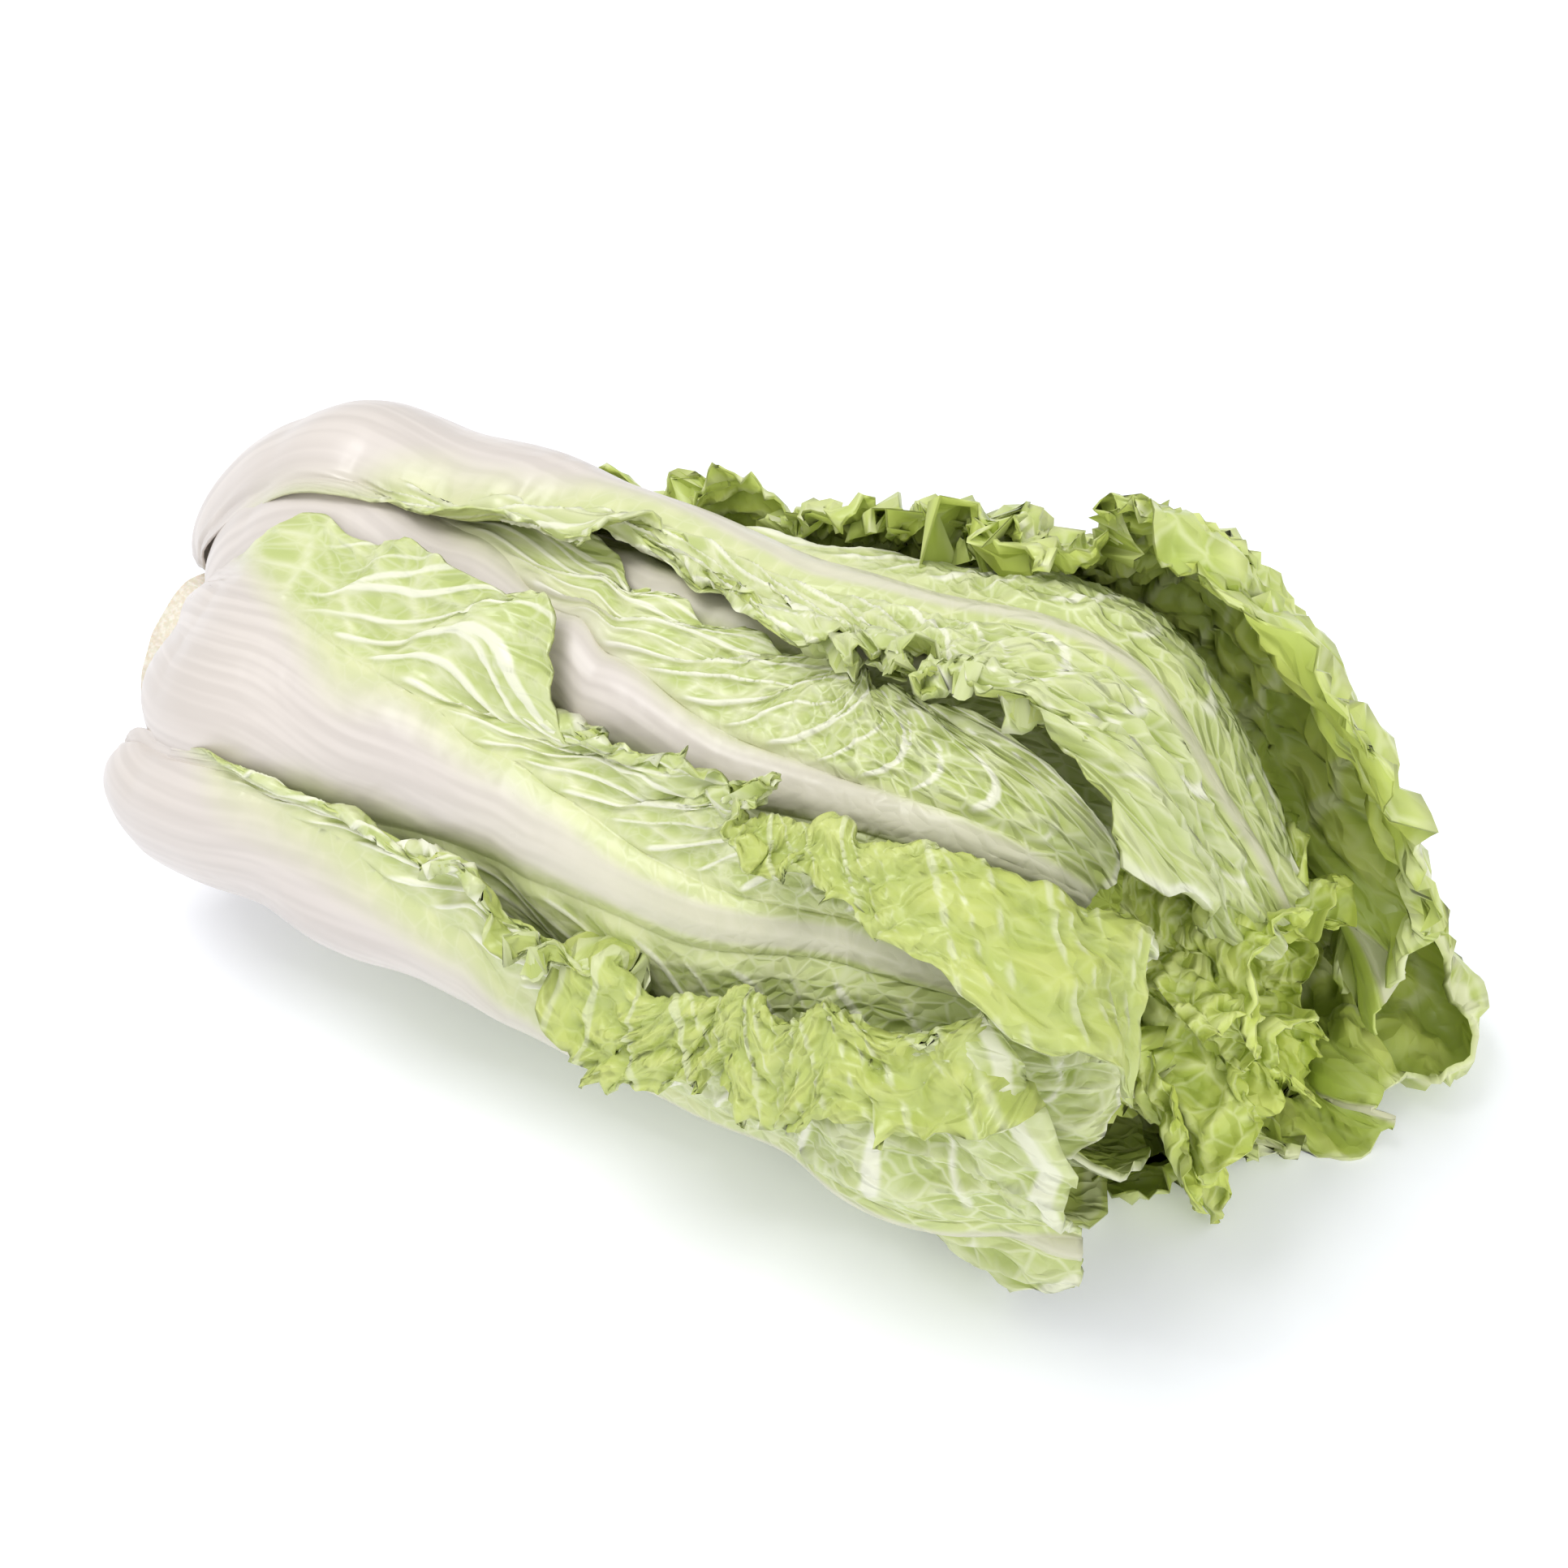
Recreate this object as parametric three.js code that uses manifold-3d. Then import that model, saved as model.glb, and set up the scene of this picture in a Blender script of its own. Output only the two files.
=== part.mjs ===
// A head of napa cabbage lying on its side, as cut in the field: a short cut stem, a dense heart with
// curled leaf tips, and thirteen separate leaves laid over it, each a broad white rib that thins into a
// pale green blade with side veins and a torn, waved edge.
//
// Millimetres, +Z up. The head's length runs along X, with the cut stem at -X and the leafy end at +X.
// The origin is on the surface it lies on, under the middle of its box.
//
// Every leaf is worked out in head coordinates: u is the distance along the heart's side line from the
// stem end, angle goes round the head (0 is up, 90 is towards -Y), and height is the distance out from
// the heart. A map of heights remembers what has been laid down so far, and each leaf lies on it.

import * as THREE from 'three';
import Module from 'manifold-3d';
import { mergeVertices } from 'three/addons/utils/BufferGeometryUtils.js';

// The heart's outline: a rod that widens towards the leafy end and is rounded at both ends.
const heart = { start: 10, end: 232, stemRadius: 26, fullRadius: 47, stemRound: 26, endRound: 42 };
// The whole head twists as it grows, so the ribs lean round by this many degrees along its length.
const twist = { degrees: 36, from: 20, to: 185 };
// The leaves lie this far apart. Their width round the head is measured on a radius this far outside the heart.
const gap = 1.2;
const wrapHeight = 28;
// Blade thickness, and how far the side veins stand out of it.
const bladeThickness = 1.3;
const veinRelief = 1.1;
// The rib: half its width and its thickness, from the stem end (u = 0) to the leaf's tip.
const ribAt = [0, 30, 70, 110, 150, 190, 240, 320];
const ribHalfWidth = [25, 25, 20, 13, 8.5, 5.5, 3.5, 2.5];
const ribThickness = [8, 9.5, 8.2, 6.5, 5.2, 4, 3, 2];
// Leaf widths and rib angles are given at these distances from the stem end.
const places = [10, 40, 80, 113, 124, 160, 200, 240];
// The underside is pressed flat over this many degrees each side of straight down.
const pressedHalfAngle = 20;
// The head settles on a strip this many degrees each side of straight down, evened out this far along it.
const restHalfAngle = 12;
const settleReach = 25;
// The flat spot is made by taking this much off the lowest leaf. The others stay this far off the surface.
const lowestName = 'end_leaf';
const flatDepth = 0.5;
const clearOfFloor = 3.5;
const stem = { radius: 18, cutRadius: 21, inside: 9, outside: -12 };

const pale = 0xd3e2ab;
const fresh = 0xbcd76f;
const bright = 0xa9cb52;

// The leaves from the inside out. path is the angle of the rib, low and high are the widths of the blade on
// the side of smaller and of larger angle, tip is how far the leaf reaches, lift is how far its two edges
// and its tip stand off what is below, and wave is the height of the edge's waves. flare is how much further
// the edge on the side of larger angle stands out at the leafy end.
const leaves = [
  { name: 'inner_leaf_front', path: turned(68), start: 20, tip: 246, low: [18, 24, 32, 38, 40, 46, 48, 36],
    high: [18, 24, 32, 38, 40, 46, 48, 36], lift: [0, 0, 9], wave: 1, colour: bright, seed: 1, veins: 7 },
  { name: 'inner_leaf_far', path: turned(-52), start: 20, tip: 248, low: [18, 24, 32, 38, 40, 46, 48, 36],
    high: [18, 24, 32, 38, 40, 46, 48, 36], lift: [0, 0, 12], wave: 1, colour: bright, seed: 2, veins: 7 },
  { name: 'inner_leaf_low', path: turned(-172), start: 20, tip: 244, low: [18, 24, 32, 38, 40, 46, 48, 36],
    high: [18, 24, 32, 38, 40, 46, 48, 36], lift: [0, 0, 12], wave: 1, colour: bright, seed: 3, veins: 7 },
  { name: 'under_leaf_back', path: [-30, -25, -14, -6, -2, 5, 8, 10], start: 18, tip: 228,
    low: [22, 30, 38, 42, 44, 48, 50, 42], high: [22, 30, 38, 42, 44, 48, 50, 42], lift: [0, 0, 1], wave: 1,
    colour: pale, seed: 4, veins: 8 },
  { name: 'under_leaf_front', path: turned(98), start: 18, tip: 238, low: [22, 30, 38, 42, 44, 48, 52, 46],
    high: [22, 30, 38, 42, 44, 48, 52, 46], lift: [0, 0, 4], wave: 1.5, colour: pale, seed: 5, veins: 8 },
  { name: 'under_leaf_far', path: turned(-140), start: 18, tip: 238, low: [22, 30, 38, 42, 44, 48, 52, 46],
    high: [22, 30, 38, 42, 44, 48, 52, 46], lift: [0, 0, 3], wave: 1.5, colour: pale, seed: 6, veins: 8 },
  { name: 'upper_leaf', path: [3, 3, 15, 26, 32, 40, 42, 42], start: 16, tip: 226,
    low: [24, 37, 46, 37, 33, 34, 29, 24], high: [24, 34, 44, 48, 50, 55, 55, 44], lift: [1.5, 0, 1], wave: 1.5,
    colour: pale, seed: 7, veins: 9 },
  { name: 'bottom_leaf', path: [140, 143, 150, 156, 158, 164, 168, 170], start: 16, tip: 230,
    low: [25, 36, 46, 52, 55, 67, 74, 62], high: [25, 36, 42, 46, 48, 52, 54, 46], lift: [1, 0, 2], wave: 2,
    colour: pale, seed: 8, veins: 8 },
  { name: 'front_leaf', path: [44, 54, 61, 64, 66, 70, 66, 64], start: 13, tip: 234,
    low: [30, 48, 53, 51, 30, 36, 33, 44], high: [25, 34, 42, 45, 46, 50, 54, 48], lift: [3, 0, 2], wave: 4,
    colour: pale, seed: 9, veins: 10 },
  { name: 'back_leaf', path: [-40, -33, -26, -22, -21, -9, -3, 0], start: 14, tip: 246,
    low: [24, 32, 40, 44, 46, 50, 54, 48], high: [24, 30, 29, 26, 12, 20, 24, 42], lift: [0, 2, 2], wave: 4,
    colour: pale, seed: 10, veins: 10 },
  { name: 'low_front_leaf', path: [98, 99, 98, 101, 109, 117, 113, 108], start: 28, tip: 224,
    low: [24, 29, 30, 34, 38, 46, 64, 58], high: [24, 30, 34, 35, 35, 36, 36, 34], lift: [5, 0, 3], wave: 4,
    colour: pale, seed: 11, veins: 9 },
  { name: 'far_leaf', path: [-105, -102, -96, -92, -90, -82, -74, -68], start: 13, tip: 252,
    low: [24, 32, 40, 43, 44, 48, 50, 50], high: [24, 34, 48, 52, 54, 60, 68, 72], lift: [0, 3, 24], flare: 30, wave: 4,
    colour: fresh, seed: 12, veins: 9 },
  { name: 'end_leaf', path: [-178, -176, -174, -171, -170, -163, -154, -146], start: 12, tip: 256,
    low: [24, 32, 36, 39, 40, 46, 56, 66], high: [24, 32, 38, 42, 44, 51, 62, 76], lift: [1, 2, 18], wave: 4,
    colour: fresh, seed: 13, veins: 10 },
];

const radians = (degrees) => degrees * Math.PI / 180;
const mix = (a, b, t) => a + (b - a) * t;

function smoothstep(from, to, value) {
  const t = Math.min(1, Math.max(0, (value - from) / (to - from)));
  return t * t * (3 - 2 * t);
}

// A smooth line through values given at rising positions.
function along(positions, values, at) {
  if (at <= positions[0]) return values[0];
  for (let i = 1; i < positions.length; i++) {
    if (at <= positions[i]) return mix(values[i - 1], values[i], smoothstep(positions[i - 1], positions[i], at));
  }
  return values[values.length - 1];
}

// A fixed number from 0 to 1 for each seed and index.
function chance(seed, index) {
  const n = Math.sin(seed * 12.9898 + index * 78.233) * 43758.5453;
  return n - Math.floor(n);
}

// The heart's side line, as points at even steps with the direction that faces out of it.
const lineStep = 2;
function heartLine() {
  const points = [];
  const steps = 600;
  for (let i = 0; i <= steps; i++) {
    const x = mix(heart.start, heart.end, 0.5 - 0.5 * Math.cos(Math.PI * i / steps));
    const body = mix(heart.stemRadius, heart.fullRadius, smoothstep(0, 200, x));
    const nearStem = Math.max(0, 1 - (x - heart.start) / heart.stemRound);
    const nearEnd = Math.max(0, 1 - (heart.end - x) / heart.endRound);
    points.push({ x, r: body * Math.sqrt(1 - nearStem * nearStem) * Math.sqrt(1 - nearEnd * nearEnd) });
  }
  const line = [{ ...points[0] }];
  let walked = 0;
  for (let i = 1; i < points.length; i++) {
    const length = Math.hypot(points[i].x - points[i - 1].x, points[i].r - points[i - 1].r);
    while (walked + length >= line.length * lineStep) {
      const t = (line.length * lineStep - walked) / length;
      line.push({ x: mix(points[i - 1].x, points[i].x, t), r: mix(points[i - 1].r, points[i].r, t) });
    }
    walked += length;
  }
  for (let i = 0; i < line.length; i++) {
    const before = line[Math.max(0, i - 1)];
    const after = line[Math.min(line.length - 1, i + 1)];
    const length = Math.hypot(after.x - before.x, after.r - before.r);
    line[i].outX = -(after.r - before.r) / length;
    line[i].outR = (after.x - before.x) / length;
  }
  line[0].outX = -1;
  line[0].outR = 0;
  return line;
}
const line = heartLine();
const lineEnd = (line.length - 1) * lineStep;

function lineAt(u) {
  const place = Math.min(line.length - 1.001, Math.max(0, u / lineStep));
  const i = Math.floor(place);
  const t = place - i;
  const a = line[i];
  const b = line[i + 1];
  return { x: mix(a.x, b.x, t), r: mix(a.r, b.r, t), outX: mix(a.outX, b.outX, t), outR: mix(a.outR, b.outR, t) };
}

function twistAt(u) {
  return twist.degrees * smoothstep(twist.from, twist.to, u);
}

// How much nearer the middle a point is for the pressed underside.
function pressed(angle) {
  const fromDown = Math.abs(Math.atan2(Math.sin(angle - Math.PI), Math.cos(angle - Math.PI)));
  const half = radians(pressedHalfAngle);
  const chord = Math.cos(half) / Math.cos(Math.min(fromDown, half));
  return mix(chord, 1, smoothstep(half, 2 * half, fromDown));
}

// Head coordinates to a point, with the head's middle line at height 0.
function around(u, degrees, height) {
  const p = lineAt(u);
  const r = Math.max(2, p.r + height * p.outR);
  const angle = radians(degrees);
  const flat = r * pressed(angle);
  return new THREE.Vector3(p.x + height * p.outX, -flat * Math.sin(angle), flat * Math.cos(angle));
}

// The height of the head's middle line above the surface, every settleStep along X, filled in by settle().
const settleStep = 5;
const settleStart = -60;
const settleCount = 80;
let middle = [];

function middleHeight(x) {
  const at = Math.min(middle.length - 1.001, Math.max(0, (x - settleStart) / settleStep));
  const i = Math.floor(at);
  return mix(middle[i], middle[i + 1], at - i);
}

// Head coordinates to a point of the head as it lies.
function place(u, degrees, height) {
  const p = around(u, degrees, height);
  p.z += middleHeight(p.x);
  return p;
}

function turned(base) {
  return places.map((u) => base + twistAt(u));
}

// The map of heights: rows every rowStep along u, columns every columnStep degrees round.
const rowStep = 2.5;
const columnStep = 3;
const mapRows = Math.ceil(lineEnd / rowStep) + 1;
const mapColumns = 360 / columnStep;
let laid = new Float64Array(mapRows * mapColumns);

const wrapColumn = (column) => ((column % mapColumns) + mapColumns) % mapColumns;
const clampRow = (row) => Math.min(mapRows - 1, Math.max(0, row));

function spread(map, reach, rule) {
  const across = new Float64Array(map.length);
  const result = new Float64Array(map.length);
  for (let row = 0; row < mapRows; row++) {
    for (let column = 0; column < mapColumns; column++) {
      const values = [];
      for (let k = -reach; k <= reach; k++) values.push(map[row * mapColumns + wrapColumn(column + k)]);
      across[row * mapColumns + column] = rule(values);
    }
  }
  for (let row = 0; row < mapRows; row++) {
    for (let column = 0; column < mapColumns; column++) {
      const values = [];
      for (let k = -reach; k <= reach; k++) values.push(across[clampRow(row + k) * mapColumns + column]);
      result[row * mapColumns + column] = rule(values);
    }
  }
  return result;
}

const highest = (values) => Math.max(...values);
const average = (values) => values.reduce((sum, v) => sum + v, 0) / values.length;

// What a leaf lies on: the highest point nearby, made smooth.
const bedOver = (map) => spread(spread(spread(map, 3, highest), 2, average), 1, average);

function heightOn(map, u, degrees) {
  const row = Math.min(mapRows - 1.001, Math.max(0, u / rowStep));
  const column = ((degrees / columnStep) % mapColumns + mapColumns) % mapColumns;
  const r = Math.floor(row);
  const c = Math.floor(column);
  const at = (dr, dc) => map[(r + dr) * mapColumns + wrapColumn(c + dc)];
  return mix(mix(at(0, 0), at(0, 1), column - c), mix(at(1, 0), at(1, 1), column - c), row - r);
}

// A point of a leaf. s goes from its foot (0) to its tip (1). side is -1 or 1. rib is how far across the
// rib the point is (0 to 1), and blade is how far across the blade (0 to 1).
function leafPoint(leaf, bed, s, side, rib, blade) {
  const run = mix(leaf.start, leaf.tip, s);
  // Side veins, and with them the rows of points, sweep forward; the last row bends back round the tip.
  const sweep = mix(34 * smoothstep(0, 0.35, s), -26, smoothstep(0.5, 1, s));
  const edgeRun = run + sweep;
  const widths = side < 0 ? leaf.low : leaf.high;
  const tooth = 1 + 0.05 * Math.cos(2 * Math.PI * s * leaf.veins) + 0.06 * (chance(leaf.seed, Math.round(s * 40)) - 0.5);
  const ribHalf = Math.min(along(ribAt, ribHalfWidth, run), along(places, widths, run) * 0.8);
  const half = Math.max(ribHalf + 1, along(places, widths, edgeRun) * tooth);
  const across = blade > 0 ? mix(ribHalf, half, blade) : ribHalf * rib;
  const u = run + sweep * Math.pow(blade, mix(1.3, 2.2, smoothstep(0.5, 1, s)));
  const degrees = along(places, leaf.path, u) + side * across / (lineAt(u).r + wrapHeight) * 180 / Math.PI;

  const ribProfile = Math.max(0, 1 - rib * rib * 0.75) * (1 - smoothstep(0, 0.3, blade));
  const vein = Math.pow(0.5 + 0.5 * Math.cos(2 * Math.PI * s * leaf.veins), 2);
  const veined = smoothstep(50, 100, u) * smoothstep(0, 0.1, blade) * (1 - 0.6 * blade) * (1 - smoothstep(0.9, 1, s));
  const thickness = mix(bladeThickness, along(ribAt, ribThickness, run), ribProfile) + veinRelief * vein * veined;

  const space = gap + smoothstep(180, 220, u) + 1 - smoothstep(25, 60, u);
  const tipward = smoothstep(leaf.tip - 30, leaf.tip, u);
  const edge = Math.max(blade * blade, 0.9 * smoothstep(0.8, 1, s));
  const phase = 2 * Math.PI * chance(leaf.seed, 7);
  const ripple = 0.5 + 0.5 * Math.sin(2 * Math.PI * u / 31 + phase + 1.5 * Math.sin(degrees / 9 + phase));
  const free = smoothstep(30, 90, u);
  const flare = side < 0 ? 0 : (leaf.flare || 0) * smoothstep(195, 235, u);
  const lift = free * (((side < 0 ? leaf.lift[0] : leaf.lift[1]) + flare) * blade * blade
    + leaf.lift[2] * tipward + leaf.wave * edge * ripple);
  return { u, degrees, thickness, height: heightOn(bed, u, degrees) + space + thickness / 2 + lift };
}

// Lays a leaf on the map, from samples closer together than the map's own steps.
function layDown(leaf, bed) {
  const next = Float64Array.from(laid);
  const rows = 260;
  const columns = 70;
  for (let i = 0; i <= rows; i++) {
    for (let j = -columns; j <= columns; j++) {
      const across = Math.abs(j) / columns;
      const rib = Math.min(1, across / 0.35);
      const blade = Math.max(0, (across - 0.35) / 0.65);
      const p = leafPoint(leaf, bed, i / rows, j < 0 ? -1 : 1, rib, blade);
      const row = clampRow(Math.round(p.u / rowStep));
      const column = wrapColumn(Math.round(p.degrees / columnStep));
      const k = row * mapColumns + column;
      next[k] = Math.max(next[k], p.height + p.thickness / 2);
    }
  }
  laid = next;
}

// Works out how high the middle line is when the laid head rests along its underside.
function settle() {
  const depth = new Array(settleCount).fill(0);
  for (let row = 0; row < mapRows; row++) {
    for (let degrees = 180 - restHalfAngle; degrees <= 180 + restHalfAngle; degrees += columnStep) {
      const p = around(row * rowStep, degrees, heightOn(laid, row * rowStep, degrees));
      const i = Math.min(settleCount - 1, Math.max(0, Math.round((p.x - settleStart) / settleStep)));
      depth[i] = Math.max(depth[i], -p.z);
    }
  }
  const reach = Math.round(settleReach / settleStep);
  middle = depth.map((_, i) => {
    const near = depth.slice(Math.max(0, i - reach), i + reach + 1).filter((d) => d > 0);
    return near.length ? average(near) : 0;
  });
}

// The columns of a leaf's faceted solid: one on the middle of the rib, and on each side one on the rib's
// shoulder, one at its edge and three across the blade.
const columnPlaces = [
  [-1, 1, 1], [-1, 1, 0.68], [-1, 1, 0.34], [-1, 1, 0], [-1, 0.55, 0], [1, 0, 0],
  [1, 0.55, 0], [1, 1, 0], [1, 1, 0.34], [1, 1, 0.68], [1, 1, 1],
];

function sheetSolid(grid, thickness) {
  const rows = grid.length;
  const columns = grid[0].length;
  const outer = [];
  const inner = [];
  for (let i = 0; i < rows; i++) {
    for (let j = 0; j < columns; j++) {
      const alongRow = grid[Math.min(rows - 1, i + 1)][j].clone().sub(grid[Math.max(0, i - 1)][j]);
      const across = grid[i][Math.min(columns - 1, j + 1)].clone().sub(grid[i][Math.max(0, j - 1)]);
      const out = across.cross(alongRow).normalize().multiplyScalar(-thickness[i][j] / 2);
      outer.push(grid[i][j].clone().add(out));
      inner.push(grid[i][j].clone().sub(out));
    }
  }
  const index = [];
  const n = rows * columns;
  for (let i = 0; i < rows - 1; i++) {
    for (let j = 0; j < columns - 1; j++) {
      const a = i * columns + j;
      const b = a + 1;
      const c = a + columns;
      const d = c + 1;
      index.push(a, c, b, b, c, d);
      index.push(n + a, n + b, n + c, n + b, n + d, n + c);
    }
  }
  const wall = (a, b) => index.push(a, b, n + a, b, n + b, n + a);
  for (let i = 0; i < rows - 1; i++) {
    wall((i + 1) * columns, i * columns);
    wall(i * columns + columns - 1, (i + 1) * columns + columns - 1);
  }
  for (let j = 0; j < columns - 1; j++) {
    wall(j, j + 1);
    wall((rows - 1) * columns + j + 1, (rows - 1) * columns + j);
  }
  const geometry = new THREE.BufferGeometry();
  const all = [...outer, ...inner];
  geometry.setAttribute('position', new THREE.Float32BufferAttribute(all.flatMap((p) => [p.x, p.y, p.z]), 3));
  geometry.setIndex(index);
  return geometry;
}

function volumeOf(geometry) {
  const position = geometry.getAttribute('position');
  const index = geometry.getIndex();
  const a = new THREE.Vector3();
  const b = new THREE.Vector3();
  const c = new THREE.Vector3();
  let sum = 0;
  for (let i = 0; i < index.count; i += 3) {
    a.fromBufferAttribute(position, index.getX(i));
    b.fromBufferAttribute(position, index.getX(i + 1));
    c.fromBufferAttribute(position, index.getX(i + 2));
    sum += a.dot(b.cross(c)) / 6;
  }
  return sum;
}

function leafGeometry(leaf, bed) {
  const rows = leaf.veins * 2;
  const grid = [];
  const thickness = [];
  for (let i = 0; i <= rows; i++) {
    const points = columnPlaces.map(([side, rib, blade]) => leafPoint(leaf, bed, i / rows, side, rib, blade));
    grid.push(points.map((p) => {
      const q = place(p.u, p.degrees, p.height);
      q.z = Math.max(q.z, p.thickness / 2 + (leaf.name === lowestName ? 0 : clearOfFloor));
      return q;
    }));
    thickness.push(points.map((p) => p.thickness));
  }
  return sheetSolid(grid, thickness);
}

const wasm = await Module();
wasm.setup();

function toSolid(geometry) {
  const merged = mergeVertices(geometry);
  return new wasm.Manifold(new wasm.Mesh({
    numProp: 3,
    vertProperties: new Float32Array(merged.getAttribute('position').array),
    triVerts: new Uint32Array(merged.getIndex().array),
  }));
}

function toGeometry(solid) {
  const mesh = solid.getMesh();
  const geometry = new THREE.BufferGeometry();
  geometry.setAttribute('position', new THREE.Float32BufferAttribute(Array.from(mesh.vertProperties), 3));
  geometry.setIndex(Array.from(mesh.triVerts));
  return geometry;
}

// The heart's body: rings of points round the side line, closed at both ends.
function heartBody() {
  const around = 18;
  const rings = [4, 12, 22, 32, 44, 58, 76, 100, 125, 150, 175, 195, 212, 228, 242, 254];
  const positions = [];
  for (const u of rings) {
    for (let k = 0; k < around; k++) {
      const p = place(u, 360 * k / around, 0);
      positions.push(p.x, p.y, p.z);
    }
  }
  for (const x of [lineAt(0).x, lineAt(lineEnd).x]) positions.push(x, 0, middleHeight(x));
  const startPoint = rings.length * around;
  const index = [];
  for (let k = 0; k < around; k++) {
    const next = (k + 1) % around;
    for (let i = 0; i < rings.length - 1; i++) {
      const a = i * around;
      const b = a + around;
      index.push(a + k, b + k, a + next, a + next, b + k, b + next);
    }
    const end = (rings.length - 1) * around;
    index.push(startPoint, k, next, startPoint + 1, end + next, end + k);
  }
  const geometry = new THREE.BufferGeometry();
  geometry.setAttribute('position', new THREE.Float32BufferAttribute(positions, 3));
  geometry.setIndex(index);
  return geometry;
}

// The heart's curled leaf tips: strips that stand out of its end along X, each on its own radius.
const heartTips = [
  { angle: 75, half: 52, inner: 14, outer: 25, reach: 25, seed: 21 },
  { angle: -45, half: 50, inner: 14, outer: 26, reach: 29, seed: 22 },
  { angle: -165, half: 50, inner: 14, outer: 24, reach: 25, seed: 23 },
  { angle: 20, half: 62, inner: 7, outer: 14, reach: 27, seed: 24 },
  { angle: -150, half: 62, inner: 7, outer: 13, reach: 31, seed: 25 },
];

function heartTip(tip) {
  const rows = 6;
  const columns = 10;
  const grid = [];
  const thickness = [];
  for (let i = 0; i <= rows; i++) {
    const s = i / rows;
    const points = [];
    for (let j = 0; j <= columns; j++) {
      const w = 2 * j / columns - 1;
      const phase = 2 * Math.PI * chance(tip.seed, 1);
      const x = mix(heart.end - 14, heart.end + tip.reach * (1 - 0.3 * w * w), s) + 2 * s * Math.cos(9 * w + phase);
      const wave = 3 * s * Math.sin(7 * w + phase) + 1.2 * s * Math.sin(7 * s + 3 * w);
      const r = mix(tip.inner, tip.outer, s * s) + wave;
      const angle = radians(tip.angle + w * tip.half);
      points.push(new THREE.Vector3(x, -r * Math.sin(angle), r * Math.cos(angle) + middleHeight(x)));
    }
    grid.push(points);
    thickness.push(points.map(() => bladeThickness));
  }
  return sheetSolid(grid, thickness);
}

function outward(geometry) {
  if (volumeOf(geometry) < 0) geometry.setIndex(Array.from(geometry.getIndex().array).reverse());
  return geometry;
}

function heartGeometry() {
  let solid = toSolid(outward(heartBody()));
  for (const tip of heartTips) solid = solid.add(toSolid(outward(heartTip(tip))));
  const bodies = solid.decompose().sort((a, b) => b.volume() - a.volume());
  return toGeometry(bodies[0]);
}

// The height that the curled tips take up round the end of the heart.
function layHeart() {
  for (let row = 0; row < mapRows; row++) {
    const rise = 40 * smoothstep(lineEnd - 10, lineEnd - 2, row * rowStep);
    for (let column = 0; column < mapColumns; column++) laid[row * mapColumns + column] = rise;
  }
}

function stemGeometry() {
  const outline = [
    [0, stem.outside], [stem.cutRadius - 1, stem.outside], [stem.cutRadius, stem.outside + 1],
    [stem.radius, stem.outside + 8], [stem.radius * 0.8, stem.inside - 6], [stem.radius * 0.5, stem.inside - 1],
    [0, stem.inside - 0.5],
  ].map(([r, x]) => new THREE.Vector2(r, x));
  const geometry = new THREE.LatheGeometry(outline, 24);
  geometry.rotateZ(-Math.PI / 2);
  geometry.translate(0, 0, middleHeight(0));
  return geometry;
}

const group = new THREE.Group();

function addPiece(name, geometry, colour, roughness) {
  const material = new THREE.MeshStandardMaterial({ color: colour, roughness, metalness: 0 });
  const mesh = new THREE.Mesh(geometry, material);
  mesh.name = name;
  group.add(mesh);
  return mesh;
}

layHeart();
const beds = leaves.map((leaf) => {
  const bed = bedOver(laid);
  layDown(leaf, bed);
  return bed;
});
settle();
addPiece('stem', stemGeometry(), 0xefe8dc, 0.6);
addPiece('heart', heartGeometry(), 0xc5dc6e, 0.5);
leaves.forEach((leaf, i) => addPiece(leaf.name, outward(leafGeometry(leaf, beds[i])), leaf.colour, 0.45));

// The lowest leaf is pressed flat where it lies, and the origin goes under the middle of the box.
const lowest = group.getObjectByName(lowestName).geometry;
const lowestPoints = lowest.getAttribute('position');
for (let i = 0; i < lowestPoints.count; i++) lowestPoints.setZ(i, Math.max(lowestPoints.getZ(i), flatDepth));
lowest.computeBoundingBox();
const size = new THREE.Box3().setFromObject(group);
const centre = size.getCenter(new THREE.Vector3());
for (const mesh of group.children) mesh.geometry.translate(-centre.x, -centre.y, -size.min.z);

export default group;
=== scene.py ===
# %% [markdown]
# A head of napa cabbage, cut at the stem and laid on its side.
#
# This lesson dresses a plain faceted model of the head. Every leaf of the plain model is a closed
# sheet of a few hundred faces. Here each one is made again at about a millimetre a face, on the same
# path and at the same height, so that there is room for the things that make a cabbage leaf look
# real: side veins that stand out of the blade, the puckered skin between them, margins that are torn
# and curl over, and a broad juicy rib.

import math

import bpy
import numpy as np
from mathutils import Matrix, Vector


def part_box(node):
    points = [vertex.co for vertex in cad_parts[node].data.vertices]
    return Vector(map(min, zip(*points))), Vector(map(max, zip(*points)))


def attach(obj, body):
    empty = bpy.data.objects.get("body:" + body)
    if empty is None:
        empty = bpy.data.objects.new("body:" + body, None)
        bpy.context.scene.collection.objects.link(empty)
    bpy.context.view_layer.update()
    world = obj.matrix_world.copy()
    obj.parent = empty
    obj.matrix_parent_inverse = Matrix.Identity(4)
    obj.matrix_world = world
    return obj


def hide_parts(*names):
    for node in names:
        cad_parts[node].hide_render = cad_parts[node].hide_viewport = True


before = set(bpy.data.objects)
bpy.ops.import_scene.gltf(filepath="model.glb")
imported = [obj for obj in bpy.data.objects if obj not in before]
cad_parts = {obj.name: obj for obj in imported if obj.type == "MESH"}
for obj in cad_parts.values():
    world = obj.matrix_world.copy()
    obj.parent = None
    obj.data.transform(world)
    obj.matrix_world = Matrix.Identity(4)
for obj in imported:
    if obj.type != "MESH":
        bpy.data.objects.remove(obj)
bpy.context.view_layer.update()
print("plain model:", len(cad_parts), "nodes")

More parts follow.
